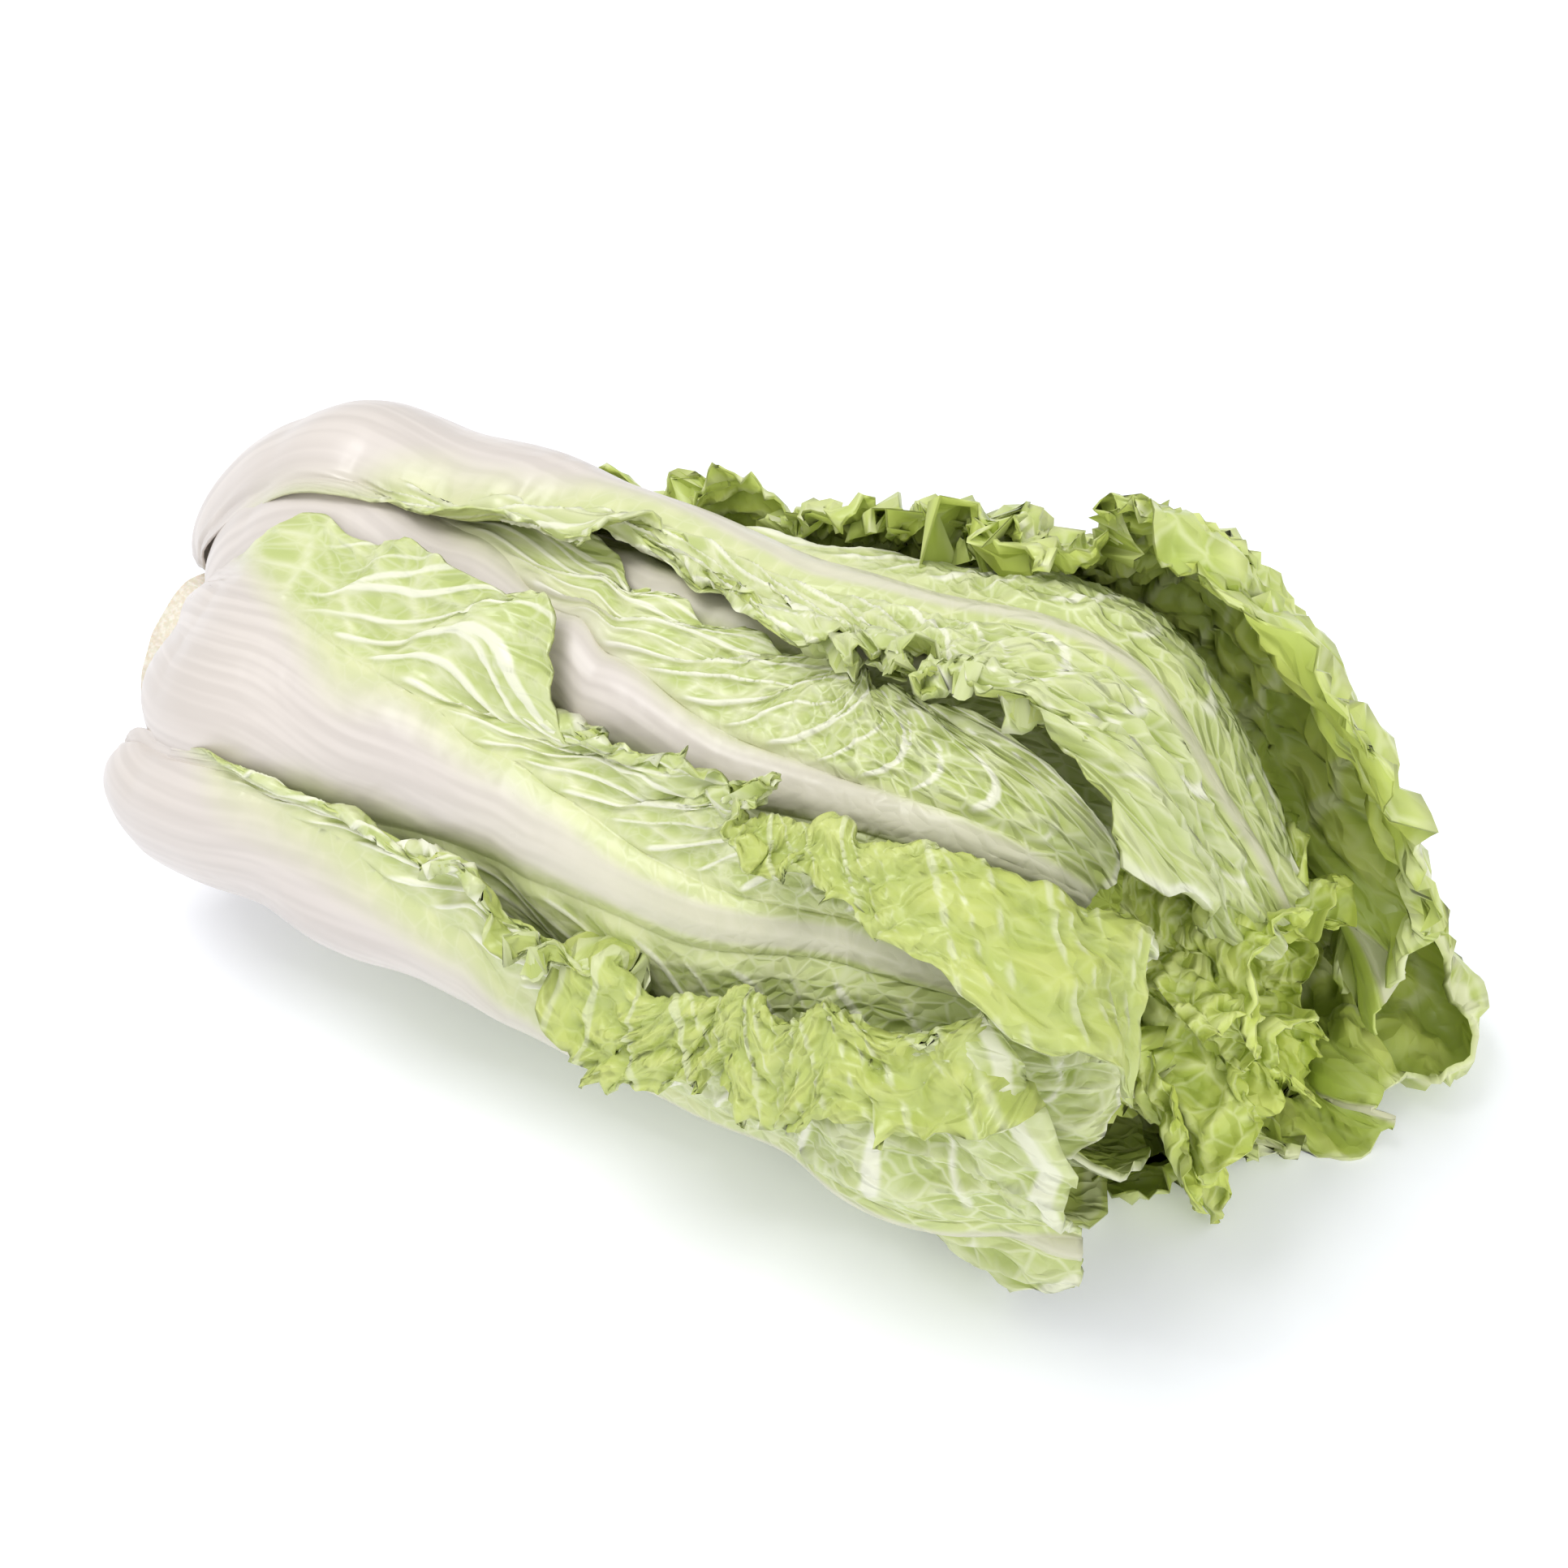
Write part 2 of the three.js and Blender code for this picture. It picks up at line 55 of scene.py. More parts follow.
# %% [markdown]
# The head is worked out in millimetres, in "head coordinates", as it was in the plain model. One
# number, u, is the distance along the side of the heart from the stem end. The second is the angle
# round the head: 0 is up and 90 is towards the front. The third is the height above the heart. A leaf
# is easy to draw in these numbers, because on a cabbage it really is wrapped round the heart.

# %% The measures of the head, in millimetres
HEART_START = 10
HEART_END = 232
HEART_STEM_RADIUS = 26
HEART_FULL_RADIUS = 47
HEART_STEM_ROUND = 26
HEART_END_ROUND = 42
TWIST_DEGREES = 36
GAP = 1.2
WRAP_HEIGHT = 28
BLADE_THICKNESS = 1.3
VEIN_RELIEF = 1.1
RIB_AT = [0, 30, 70, 110, 150, 190, 240, 320]
RIB_HALF_WIDTH = [25, 25, 20, 13, 8.5, 5.5, 3.5, 2.5]
RIB_THICKNESS = [8, 9.5, 8.2, 6.5, 5.2, 4, 3, 2]
PLACES = [10, 40, 80, 113, 124, 160, 200, 240]
PRESSED_HALF_ANGLE = 20
REST_HALF_ANGLE = 12
SETTLE_REACH = 25
FLAT_DEPTH = 0.5
CLEAR_OF_FLOOR = 3.5
STEM_OUTSIDE = -12
METRE = 0.001
BODY_END = 200
TWIST_FROM = 20
TWIST_TO = 185


def mix(a, b, t):
    return a + (b - a) * t


def smoothstep(low, high, value):
    t = np.clip((value - low) / (high - low), 0, 1)
    return t * t * (3 - 2 * t)


def along(positions, values, at):
    """A smooth line through values given at rising positions."""
    positions = np.asarray(positions, float)
    values = np.asarray(values, float)
    at = np.clip(at, positions[0], positions[-1])
    k = np.clip(np.searchsorted(positions, at, side="right") - 1, 0, len(positions) - 2)
    return mix(values[k], values[k + 1], smoothstep(positions[k], positions[k + 1], at))


def fraction(n):
    return n - np.floor(n)


# A sine this steep jumps about so fast that the fraction of it looks like chance.
STEEP = 43758.5453


def chance(seed, index):
    """A fixed number from 0 to 1 for each seed and index."""
    return fraction(np.sin(seed * 12.9898 + np.asarray(index, float) * 78.233) * STEEP)


def twisted(base):
    return [base + TWIST_DEGREES * float(smoothstep(TWIST_FROM, TWIST_TO, u)) for u in PLACES]


# %% [markdown]
# The heart's side line is walked in even steps, and each step keeps the direction that faces out of
# the heart. It is the ruler for all that follows.

# %% The heart's side line
LINE_STEP = 0.5
LINE_SAMPLES = 4001
SLOPE_REACH = 2


def heart_line():
    t = np.linspace(0, 1, LINE_SAMPLES)
    x = mix(HEART_START, HEART_END, 0.5 - 0.5 * np.cos(np.pi * t))
    body = mix(HEART_STEM_RADIUS, HEART_FULL_RADIUS, smoothstep(0, BODY_END, x))
    near_stem = np.maximum(0, 1 - (x - HEART_START) / HEART_STEM_ROUND)
    near_end = np.maximum(0, 1 - (HEART_END - x) / HEART_END_ROUND)
    r = body * np.sqrt(1 - near_stem**2) * np.sqrt(1 - near_end**2)
    walked = np.concatenate([[0], np.cumsum(np.hypot(np.diff(x), np.diff(r)))])
    end = 2 * math.floor(walked[-1] / 2)
    u = np.arange(0, end + LINE_STEP / 2, LINE_STEP)
    line_x = np.interp(u, walked, x)
    line_r = np.interp(u, walked, r)
    reach = int(SLOPE_REACH / LINE_STEP)
    after = np.minimum(np.arange(len(u)) + reach, len(u) - 1)
    before = np.maximum(np.arange(len(u)) - reach, 0)
    dx = line_x[after] - line_x[before]
    dr = line_r[after] - line_r[before]
    length = np.hypot(dx, dr)
    out_x = -dr / length
    out_r = dx / length
    out_x[0] = -1
    out_r[0] = 0
    return u, line_x, line_r, out_x, out_r


LINE_U, LINE_X, LINE_R, LINE_OUT_X, LINE_OUT_R = heart_line()
LINE_END = LINE_U[-1]
print("the heart's side line is", LINE_END, "mm long")


def radius_at(u):
    return np.interp(u, LINE_U, LINE_R)


LEAST_RADIUS = 2


def pressed(angle):
    """How much nearer the middle a point is for the underside, which lies flat."""
    from_down = np.abs(np.arctan2(np.sin(angle - np.pi), np.cos(angle - np.pi)))
    half = math.radians(PRESSED_HALF_ANGLE)
    chord = math.cos(half) / np.cos(np.minimum(from_down, half))
    return mix(chord, 1, smoothstep(half, 2 * half, from_down))


def around(u, degrees, height):
    """Head coordinates to points, with the head's middle line at height 0."""
    out_x = np.interp(u, LINE_U, LINE_OUT_X)
    out_r = np.interp(u, LINE_U, LINE_OUT_R)
    r = np.maximum(LEAST_RADIUS, radius_at(u) + height * out_r)
    angle = np.radians(degrees)
    flat = r * pressed(angle)
    x = np.interp(u, LINE_U, LINE_X) + height * out_x
    return np.stack([x, -flat * np.sin(angle), flat * np.cos(angle)], axis=-1)


# %% [markdown]
# A map of heights remembers what has been laid down so far, one number for each small patch of u and
# angle. A new leaf lies on the highest thing nearby, smoothed, and is then laid on the map itself.
# That is how the leaves stay apart without being pushed apart by hand.

# %% The map of heights
ROW_STEP = 2.5
COLUMN_STEP = 3
MAP_ROWS = math.ceil(LINE_END / ROW_STEP) + 1
MAP_COLUMNS = 360 // COLUMN_STEP


def spread(height_map, reach, rule):
    """Each patch becomes the highest or the average of those within reach."""
    shifted = [np.roll(height_map, k, axis=1) for k in range(-reach, reach + 1)]
    across = rule(np.stack(shifted), axis=0)
    rows = np.arange(MAP_ROWS)
    shifted = [across[np.clip(rows + k, 0, MAP_ROWS - 1)] for k in range(-reach, reach + 1)]
    return rule(np.stack(shifted), axis=0)


def bed_over(height_map):
    return spread(spread(spread(height_map, 3, np.max), 2, np.mean), 1, np.mean)


def read_map(height_map, u, degrees):
    """The map at any place, blended by a smooth curve so that its patches don't show."""
    row = np.clip(u / ROW_STEP, 0, MAP_ROWS - 1)
    column = np.asarray(degrees) / COLUMN_STEP
    r = np.floor(row).astype(int)
    c = np.floor(column).astype(int)

    def weights(t):
        return [(1 - t) ** 3 / 6, (3 * t**3 - 6 * t**2 + 4) / 6,
                (-3 * t**3 + 3 * t**2 + 3 * t + 1) / 6, t**3 / 6]

    total = 0
    for i, by_row in enumerate(weights(row - r)):
        for j, by_column in enumerate(weights(column - c)):
            near_row = np.clip(r + i - 1, 0, MAP_ROWS - 1)
            total = total + by_row * by_column * height_map[near_row, (c + j - 1) % MAP_COLUMNS]
    return total


# %% [markdown]
# Nature's unevenness comes from three fixed patterns. Soft clouds bend and thicken things, a jagged
# line tears the margins, and a net of cells puckers the skin, because the blade grows faster than the
# veins that frame it and has to bulge.

# %% Patterns for uneven growth


def hashed(a, b, seed):
    return fraction(np.sin(a * 127.1 + b * 311.7 + seed * 74.7) * STEEP)


def cloud(x, y, seed):
    """A soft pattern from -1 to 1."""
    i = np.floor(x)
    j = np.floor(y)
    tx = (x - i) ** 2 * (3 - 2 * (x - i))
    ty = (y - j) ** 2 * (3 - 2 * (y - j))
    low = mix(hashed(i, j, seed), hashed(i + 1, j, seed), tx)
    high = mix(hashed(i, j + 1, seed), hashed(i + 1, j + 1, seed), tx)
    return 2 * mix(low, high, ty) - 1


def jagged(t, seed):
    """A line of straight pieces between -1 and 1, one piece for each whole number."""
    i = np.floor(t)
    return 2 * mix(chance(seed, i), chance(seed, i + 1), t - i) - 1


CELL_JITTER = 0.8
DOME_EDGE = 0.55
NO_CELL_YET = 9.0


def cells(x, y, seed):
    """How far the nearest cell's wall is (0 on it), and how domed the cell is there (1 in its middle)."""
    i = np.floor(x)
    j = np.floor(y)
    nearest = np.full(np.shape(x), NO_CELL_YET)
    second = nearest.copy()
    for di in (-1, 0, 1):
        for dj in (-1, 0, 1):
            cx = i + di + 0.5 + CELL_JITTER * (hashed(i + di, j + dj, seed) - 0.5)
            cy = j + dj + 0.5 + CELL_JITTER * (hashed(i + di, j + dj, seed + 50) - 0.5)
            d = np.hypot(cx - x, cy - y)
            second = np.where(d < nearest, nearest, np.minimum(second, d))
            nearest = np.minimum(nearest, d)
    wall = second - nearest
    return wall, smoothstep(0, DOME_EDGE, wall)


# %% [markdown]
# The thirteen leaves, from the inside out. A leaf's path is the angle of its rib at each place along
# the head, and its low and high widths are those of the blade on either side of the rib. A roll says
# how far a margin curls outwards: the places, the degrees and the width of the strip that curls. The
# white flesh of a rib is gone at white_end, unless the rib is one that stays white for longer.

# %% The leaves
INNER_WIDTHS = [18, 24, 32, 38, 40, 46, 48, 36]
UNDER_WIDTHS = [22, 30, 38, 42, 44, 48, 52, 46]
BACK_WIDTHS = [22, 30, 38, 42, 44, 48, 50, 42]
NO_ROLL = ([0, 260], [0, 0], [4, 4])
USUAL_LEAF = dict(finish="pale", size=(230, 120), rolls=(NO_ROLL, NO_ROLL), ragged=1.0, pucker=1.0,
                  flare=0, white_end=165)


def leaf(name, path, start, tip, low, high, lift, wave, seed, veins, **unusual):
    return {**USUAL_LEAF, "name": name, "path": path, "start": start, "tip": tip, "low": low, "high": high,
            "lift": lift, "wave": wave, "seed": seed, "veins": veins, **unusual}


INNER = dict(finish="bright", size=(100, 80), ragged=1.3, pucker=1.5)
OUTER = dict(finish="fresh", ragged=1.2, pucker=1.9)
LEAVES = [
    leaf("inner_leaf_front", twisted(68), 20, 246, INNER_WIDTHS, INNER_WIDTHS, (0, 0, 9), 1, 1, 7, **INNER),
    leaf("inner_leaf_far", twisted(-52), 20, 248, INNER_WIDTHS, INNER_WIDTHS, (0, 0, 12), 1, 2, 7, **INNER),
    leaf("inner_leaf_low", twisted(-172), 20, 244, INNER_WIDTHS, INNER_WIDTHS, (0, 0, 12), 1, 3, 7, **INNER),
    leaf("under_leaf_back", [-30, -25, -14, -6, -2, 5, 8, 10], 18, 228, BACK_WIDTHS, BACK_WIDTHS,
         (0, 0, 1), 1, 4, 8, size=(110, 60)),
    leaf("under_leaf_front", twisted(98), 18, 238, UNDER_WIDTHS, UNDER_WIDTHS, (0, 0, 4), 1.5, 5, 8,
         size=(60, 40)),
    leaf("under_leaf_far", twisted(-140), 18, 238, UNDER_WIDTHS, UNDER_WIDTHS, (0, 0, 3), 1.5, 6, 8,
         size=(60, 40)),
    leaf("upper_leaf", [3, 3, 15, 26, 32, 40, 42, 42], 16, 226, [24, 37, 46, 37, 33, 34, 29, 24],
         [24, 34, 44, 48, 50, 55, 55, 44], (1.5, 0, 1), 1.5, 7, 10, ragged=0.5, pucker=0.5,
         white_end=235),
    leaf("bottom_leaf", [140, 143, 150, 156, 158, 164, 168, 170], 16, 230,
         [25, 36, 46, 52, 55, 67, 74, 62], [25, 36, 42, 46, 48, 52, 54, 46], (1, 0, 2), 2, 8, 8,
         size=(100, 60)),
    leaf("front_leaf", [44, 54, 61, 64, 66, 70, 66, 64], 13, 234, [30, 48, 53, 51, 30, 36, 33, 44],
         [25, 34, 42, 45, 46, 50, 54, 48], (3, 0, 2), 4, 9, 10, size=(260, 130),
         rolls=(([40, 172, 184, 194, 214, 226, 236], [0, 0, 140, 166, 164, 90, 0],
                 [5, 7, 18, 27, 24, 12, 5]), NO_ROLL)),
    leaf("back_leaf", [-40, -33, -26, -22, -21, -9, -3, 0], 14, 246, [24, 32, 40, 44, 46, 50, 54, 48],
         [24, 30, 29, 26, 14, 28, 32, 44], (0, 2, 2), 4, 10, 10, ragged=0.8, pucker=1.3),
    leaf("low_front_leaf", [98, 99, 98, 101, 109, 117, 113, 108], 28, 224,
         [24, 29, 30, 34, 38, 46, 64, 58], [24, 30, 34, 35, 35, 36, 36, 34], (5, 0, 3), 4, 11, 9,
         size=(230, 130),
         rolls=(([35, 60, 110, 158, 172, 196, 210, 222], [0, 110, 130, 140, 168, 166, 140, 40],
                 [5, 6, 8, 9, 28, 26, 12, 5]), NO_ROLL)),
    leaf("far_leaf", [-105, -102, -96, -92, -90, -82, -74, -68], 13, 252,
         [24, 32, 40, 43, 44, 48, 50, 50], [24, 34, 48, 52, 54, 60, 68, 72], (0, 3, 24), 4, 12, 9,
         size=(220, 120), flare=30, **OUTER),
    leaf("end_leaf", [-178, -176, -174, -171, -170, -163, -154, -146], 12, 256,
         [24, 32, 36, 39, 40, 46, 56, 66], [24, 32, 38, 42, 44, 51, 62, 76], (1, 2, 18), 4, 13, 10,
         size=(210, 110), **OUTER),
]
print(len(LEAVES), "leaves")

# %% [markdown]
# One function gives the run of a leaf: for each point from foot (s = 0) to tip (s = 1) and from the
# middle of the rib to the margin, where it lies and how thick it is. Rows of points follow the side
# veins, which sweep forward, and the last row bends back round the tip.

# %% The run of a leaf
CLOSE_SHARE = 0.85
BEND_WIDTH = 8
FOOT_REACH = 5
FOOT_START = 12
FOOT_ROUND = 9
FOOT_NARROW = 0.45
FOOT_SWEEP = 34
TIP_SWEEP = 26
RIB_MOST = 0.8
SCALLOP = 0.05
FULL_ROOM = 20
TIP_LIFT_LENGTH = 30
RIPPLE_LENGTH = 31


def torn(leaf, s, side):
    """How far the torn margin stands out or in there."""
    seed = leaf["seed"] * 3 + (side > 0)
    return leaf["ragged"] * (3.2 * cloud(s * 19, 0.5, seed) + 1.7 * jagged(s * 41, seed + 40)
                             + 0.9 * jagged(s * 97, seed + 80))


def folded_length(leaf, side, u):
    """How much of the blade is folded back, which the plain model leaves out."""
    low, high = leaf["rolls"]
    width = np.where(side < 0, along(low[0], low[2], u), along(high[0], high[2], u))
    return np.maximum(0, width - BEND_WIDTH)


def width_at(leaf, side, u):
    return np.where(side < 0, along(PLACES, leaf["low"], u), along(PLACES, leaf["high"], u))


def leaf_run(leaf, bed, s, side, rib, blade, fine=False):
    tip = leaf["tip"]
    if fine:
        uneven = 2.8 * cloud(side * blade * 5, 0.5, leaf["seed"] + 5)
        uneven = uneven + 0.9 * jagged(side * blade * 19, leaf["seed"])
        tip = tip + smoothstep(0.8, 1, s) * leaf["ragged"] * uneven
    start = max(FOOT_START, leaf["start"] - FOOT_REACH) if fine else leaf["start"]
    run = mix(start, tip, s)
    sweep = mix(FOOT_SWEEP * smoothstep(0, 0.35, s), -TIP_SWEEP, smoothstep(0.5, 1, s))
    edge_run = run + sweep
    width = width_at(leaf, side, run)
    edge_width = width_at(leaf, side, edge_run)
    rib_half = np.minimum(along(RIB_AT, RIB_HALF_WIDTH, run), width * RIB_MOST)
    half = edge_width * (1 + SCALLOP * np.cos(2 * np.pi * s * leaf["veins"]))
    if fine:
        room = np.clip((edge_width - rib_half) / FULL_ROOM, 0, 1)
        half = half + torn(leaf, s, side) * room * smoothstep(30, 60, edge_run)
        half = half + folded_length(leaf, side, edge_run)
    half = np.maximum(rib_half + 1, half)
    across = np.where(blade > 0, mix(rib_half, half, blade), rib_half * rib)
    if fine:
        off_foot = np.clip((run - start) / FOOT_ROUND, 0, 1)
        across = across * mix(FOOT_NARROW, 1, np.sqrt(1 - (1 - off_foot) ** 2))
    u = run + sweep * blade ** mix(1.3, 2.2, smoothstep(0.5, 1, s))
    degrees = along(PLACES, leaf["path"], u) + np.degrees(side * across / (radius_at(u) + WRAP_HEIGHT))

    rib_profile = np.maximum(0, 1 - rib**2 * 0.75) * (1 - smoothstep(0, 0.3, blade))
    vein = (0.5 + 0.5 * np.cos(2 * np.pi * s * leaf["veins"])) ** 2
    veined = (smoothstep(50, 100, u) * smoothstep(0, 0.1, blade) * (1 - 0.6 * blade)
              * (1 - smoothstep(0.9, 1, s)))
    thickness = mix(BLADE_THICKNESS, along(RIB_AT, RIB_THICKNESS, run), rib_profile)
    thickness = thickness + VEIN_RELIEF * vein * veined

    space = GAP + smoothstep(180, 220, u) + 1 - smoothstep(25, 60, u)
    tipward = smoothstep(leaf["tip"] - TIP_LIFT_LENGTH, leaf["tip"], u)
    edge = np.maximum(blade**2, 0.9 * smoothstep(0.8, 1, s))
    phase = 2 * np.pi * chance(leaf["seed"], 7)
    ripple = 0.5 + 0.5 * np.sin(2 * np.pi * u / RIPPLE_LENGTH + phase + 1.5 * np.sin(degrees / 9 + phase))
    free = smoothstep(30, 90, u)
    side_lift = np.where(side < 0, leaf["lift"][0], leaf["lift"][1])
    side_lift = side_lift + np.where(side < 0, 0, leaf["flare"] * smoothstep(195, 235, u))
    lift = free * (side_lift * blade**2 + leaf["lift"][2] * tipward + leaf["wave"] * edge * ripple)
    bed_height = read_map(bed, u, degrees)
    if fine:
        near = smoothstep(0.45, 0.95, across / half) * (1 - smoothstep(170, 210, u))
        bed_height = mix(bed_height, read_map(leaf["close_bed"], u, degrees), CLOSE_SHARE * near)
    height = bed_height + space + thickness / 2 + lift
    room = np.clip((width - rib_half) / 15, 0.1, 1)
    return dict(u=u, degrees=degrees, height=height, thickness=thickness, across=across, half=half,
                room=room, rib_profile=rib_profile, free=free, run=run)


# %% Lay the leaves on the map, one after another
SAMPLE_ROWS = 261
SAMPLE_COLUMNS = 141
SAMPLE_RIB = 0.35
SOFT_SHARE = 0.6
TIPS_RISE = 40


def sheet_grid(rows, columns):
    """Shares from foot to tip and from margin to margin, for a grid with so many points each way."""
    return np.meshgrid(np.linspace(0, 1, rows), np.linspace(-1, 1, columns), indexing="ij")


def lay_down(leaf, bed, laid):
    """The map with this leaf on it, and where the leaf lies."""
    s, w = sheet_grid(SAMPLE_ROWS, SAMPLE_COLUMNS)
    across = np.abs(w)
    rib = np.minimum(1, across / SAMPLE_RIB)
    blade = np.maximum(0, (across - SAMPLE_RIB) / (1 - SAMPLE_RIB))
    p = leaf_run(leaf, bed, s, np.where(w < 0, -1, 1), rib, blade)
    row = np.clip(np.round(p["u"] / ROW_STEP).astype(int), 0, MAP_ROWS - 1)
    column = np.round(p["degrees"] / COLUMN_STEP).astype(int) % MAP_COLUMNS
    above = laid.copy()
    np.maximum.at(above, (row, column), p["height"] + p["thickness"] / 2)
    cover = np.zeros_like(laid)
    cover[row, column] = 1
    return above, cover


tips_rise = TIPS_RISE * smoothstep(LINE_END - 10, LINE_END - 2, np.arange(MAP_ROWS) * ROW_STEP)
laid = np.repeat(tips_rise[:, None], MAP_COLUMNS, axis=1)
for one in LEAVES:
    one["bed"] = bed_over(laid)
    one["soft_bed"] = mix(one["bed"], spread(one["bed"], 3, np.mean), SOFT_SHARE)
    one["close_bed"] = spread(spread(laid, 1, np.max), 1, np.mean)
    laid, one["cover"] = lay_down(one, one["bed"], laid)
for i, one in enumerate(LEAVES):
    over = np.zeros_like(laid)
    for later in LEAVES[i + 1:]:
        over = np.maximum(over, later["cover"])
    one["bare"] = 1 - spread(over, 1, np.mean)
print("the highest leaf is", round(float(laid[10:90].max()), 1), "mm above the heart")

# %% [markdown]
# The head then settles on the floor. How high its middle line runs is worked out from how far the
# leaves reach down, evened out along its length.

# %% Settle on the floor
SETTLE_STEP = 5
SETTLE_START = -60
SETTLE_COUNT = 80


def settle():
    depth = np.zeros(SETTLE_COUNT)
    for row in range(MAP_ROWS):
        for degrees in range(180 - REST_HALF_ANGLE, 180 + REST_HALF_ANGLE + 1, COLUMN_STEP):
            height = laid[row, degrees // COLUMN_STEP]
            p = around(row * ROW_STEP, degrees, height)
            i = int(np.clip(round((p[0] - SETTLE_START) / SETTLE_STEP), 0, SETTLE_COUNT - 1))
            depth[i] = max(depth[i], -p[2])
    reach = round(SETTLE_REACH / SETTLE_STEP)
    middle = np.zeros(SETTLE_COUNT)
    for i in range(SETTLE_COUNT):
        near = depth[max(0, i - reach):i + reach + 1]
        near = near[near > 0]
        middle[i] = near.mean() if len(near) else 0
    return middle


MIDDLE = settle()
SETTLE_X = SETTLE_START + SETTLE_STEP * np.arange(SETTLE_COUNT)
stem_low, stem_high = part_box("stem")
SHIFT = np.array([stem_low.x / METRE - STEM_OUTSIDE, (stem_low.y + stem_high.y) / 2 / METRE, -FLAT_DEPTH])
print("the middle line is", MIDDLE.max().round(1), "mm up at its highest; shift", SHIFT.round(2))


def middle_height(x):
    return np.interp(x, SETTLE_X, MIDDLE)


def place(u, degrees, height):
    """Head coordinates to points of the head as it lies, in the plain model's frame."""
    p = around(u, degrees, height)
    p[..., 2] += middle_height(p[..., 0])
    return p + SHIFT


# %% [markdown]
# A leaf is modelled as by hand: a grid is added, extruded into a thin closed slab, and its faces are
# turned outwards while it is still flat, when that can't go wrong. Then each corner of the slab goes
# to its place on the leaf. The top of the slab is the outer skin and the bottom is the inner skin.

# %% A thin slab with numbered corners


def deselect_all():
    bpy.ops.object.select_all(action="DESELECT")


def corners_of(piece):
    points = np.zeros(len(piece.data.vertices) * 3, np.float32)
    piece.data.vertices.foreach_get("co", points)
    return points.reshape(-1, 3)


def move_corners(piece, points):
    """Puts each corner of a mesh at a point given in millimetres."""
    piece.data.vertices.foreach_set("co", (points * METRE).astype(np.float32).ravel())
    piece.data.update()


def store_layer(piece, name, values):
    """Stores a number or a vector for each corner, for the finishes to read."""
    if values.ndim == 2:
        store = piece.data.attributes.new(name, "FLOAT_VECTOR", "POINT")
        store.data.foreach_set("vector", values.astype(np.float32).ravel())
    else:
        store = piece.data.attributes.new(name, "FLOAT", "POINT")
        store.data.foreach_set("value", values.astype(np.float32))


def face_outwards():
    """Turns the faces of the mesh being edited outwards, and leaves edit mode."""
    bpy.ops.mesh.select_all(action="SELECT")
    bpy.ops.mesh.normals_make_consistent(inside=False)
    bpy.ops.object.mode_set(mode="OBJECT")


def slab(name, rows, columns):
    """A closed flat slab. Returns it with each corner's row, column and whether it is on the outer skin."""
    deselect_all()
    bpy.ops.mesh.primitive_grid_add(x_subdivisions=rows, y_subdivisions=columns, size=2)
    piece = bpy.context.object
    piece.name = name
    piece.data.name = name
    bpy.ops.object.mode_set(mode="EDIT")
    bpy.ops.mesh.select_all(action="SELECT")
    bpy.ops.mesh.extrude_region_move(TRANSFORM_OT_translate={"value": (0, 0, -1)})
    face_outwards()
    flat = corners_of(piece)
    row = np.round((flat[:, 0] + 1) / 2 * rows).astype(int)
    column = np.round((1 - flat[:, 1]) / 2 * columns).astype(int)
    return piece, row, column, flat[:, 2] > -0.5


CUBIC_CENTIMETRES = 1e6
SMOOTH_ANGLE = math.radians(100)


def volume_of(piece):
    """The volume inside a closed mesh in cubic centimetres, less than zero if it is inside out."""
    mesh = piece.data
    mesh.calc_loop_triangles()
    corners = np.zeros(len(mesh.loop_triangles) * 3, np.int32)
    mesh.loop_triangles.foreach_get("vertices", corners)
    a, b, c = corners_of(piece)[corners.reshape(-1, 3)].transpose(1, 0, 2).astype(float)
    return float(np.einsum("ij,ij->", a, np.cross(b, c)) / 6 * CUBIC_CENTIMETRES)


def fill(piece, row, column, on_outer, outer, inner, layers):
    """Puts the slab's corners in their places and stores what the finishes read."""
    move_corners(piece, np.where(on_outer[:, None], outer[row, column], inner[row, column]))
    for name, layer in layers.items():
        store_layer(piece, name, layer[row, column])
    store_layer(piece, "inside", ~on_outer)
    if volume_of(piece) < 0:
        raise ValueError(piece.name + " is inside out")
    deselect_all()
    piece.select_set(True)
    bpy.context.view_layer.objects.active = piece
    bpy.ops.object.shade_smooth_by_angle(angle=SMOOTH_ANGLE)


def dress(piece, node):
    """The piece takes the place of a node of the plain model, and moves with the head."""
    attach(piece, "root")
    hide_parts(node)
    volume = round(volume_of(piece), 1)
    print(piece.name, len(piece.data.loop_triangles), "triangles,", volume, "cm3")


# %% [markdown]
# Now the skin. The side veins are round ridges, thick where they leave the rib and thin at the margin.
# Each one wanders a little and forks past the middle of the blade, and a thinner one runs between two.

# %% The side veins
VEIN_SWEEP = 1.5
VEIN_SLANT = 0.8
VEIN_WIDTH = 1.9
VEIN_WIDTH_AT_MARGIN = 0.8
VEIN_NARROWS_TO = 0.55
VEIN_WANDER = 0.18
FORK_OPENS = 0.32


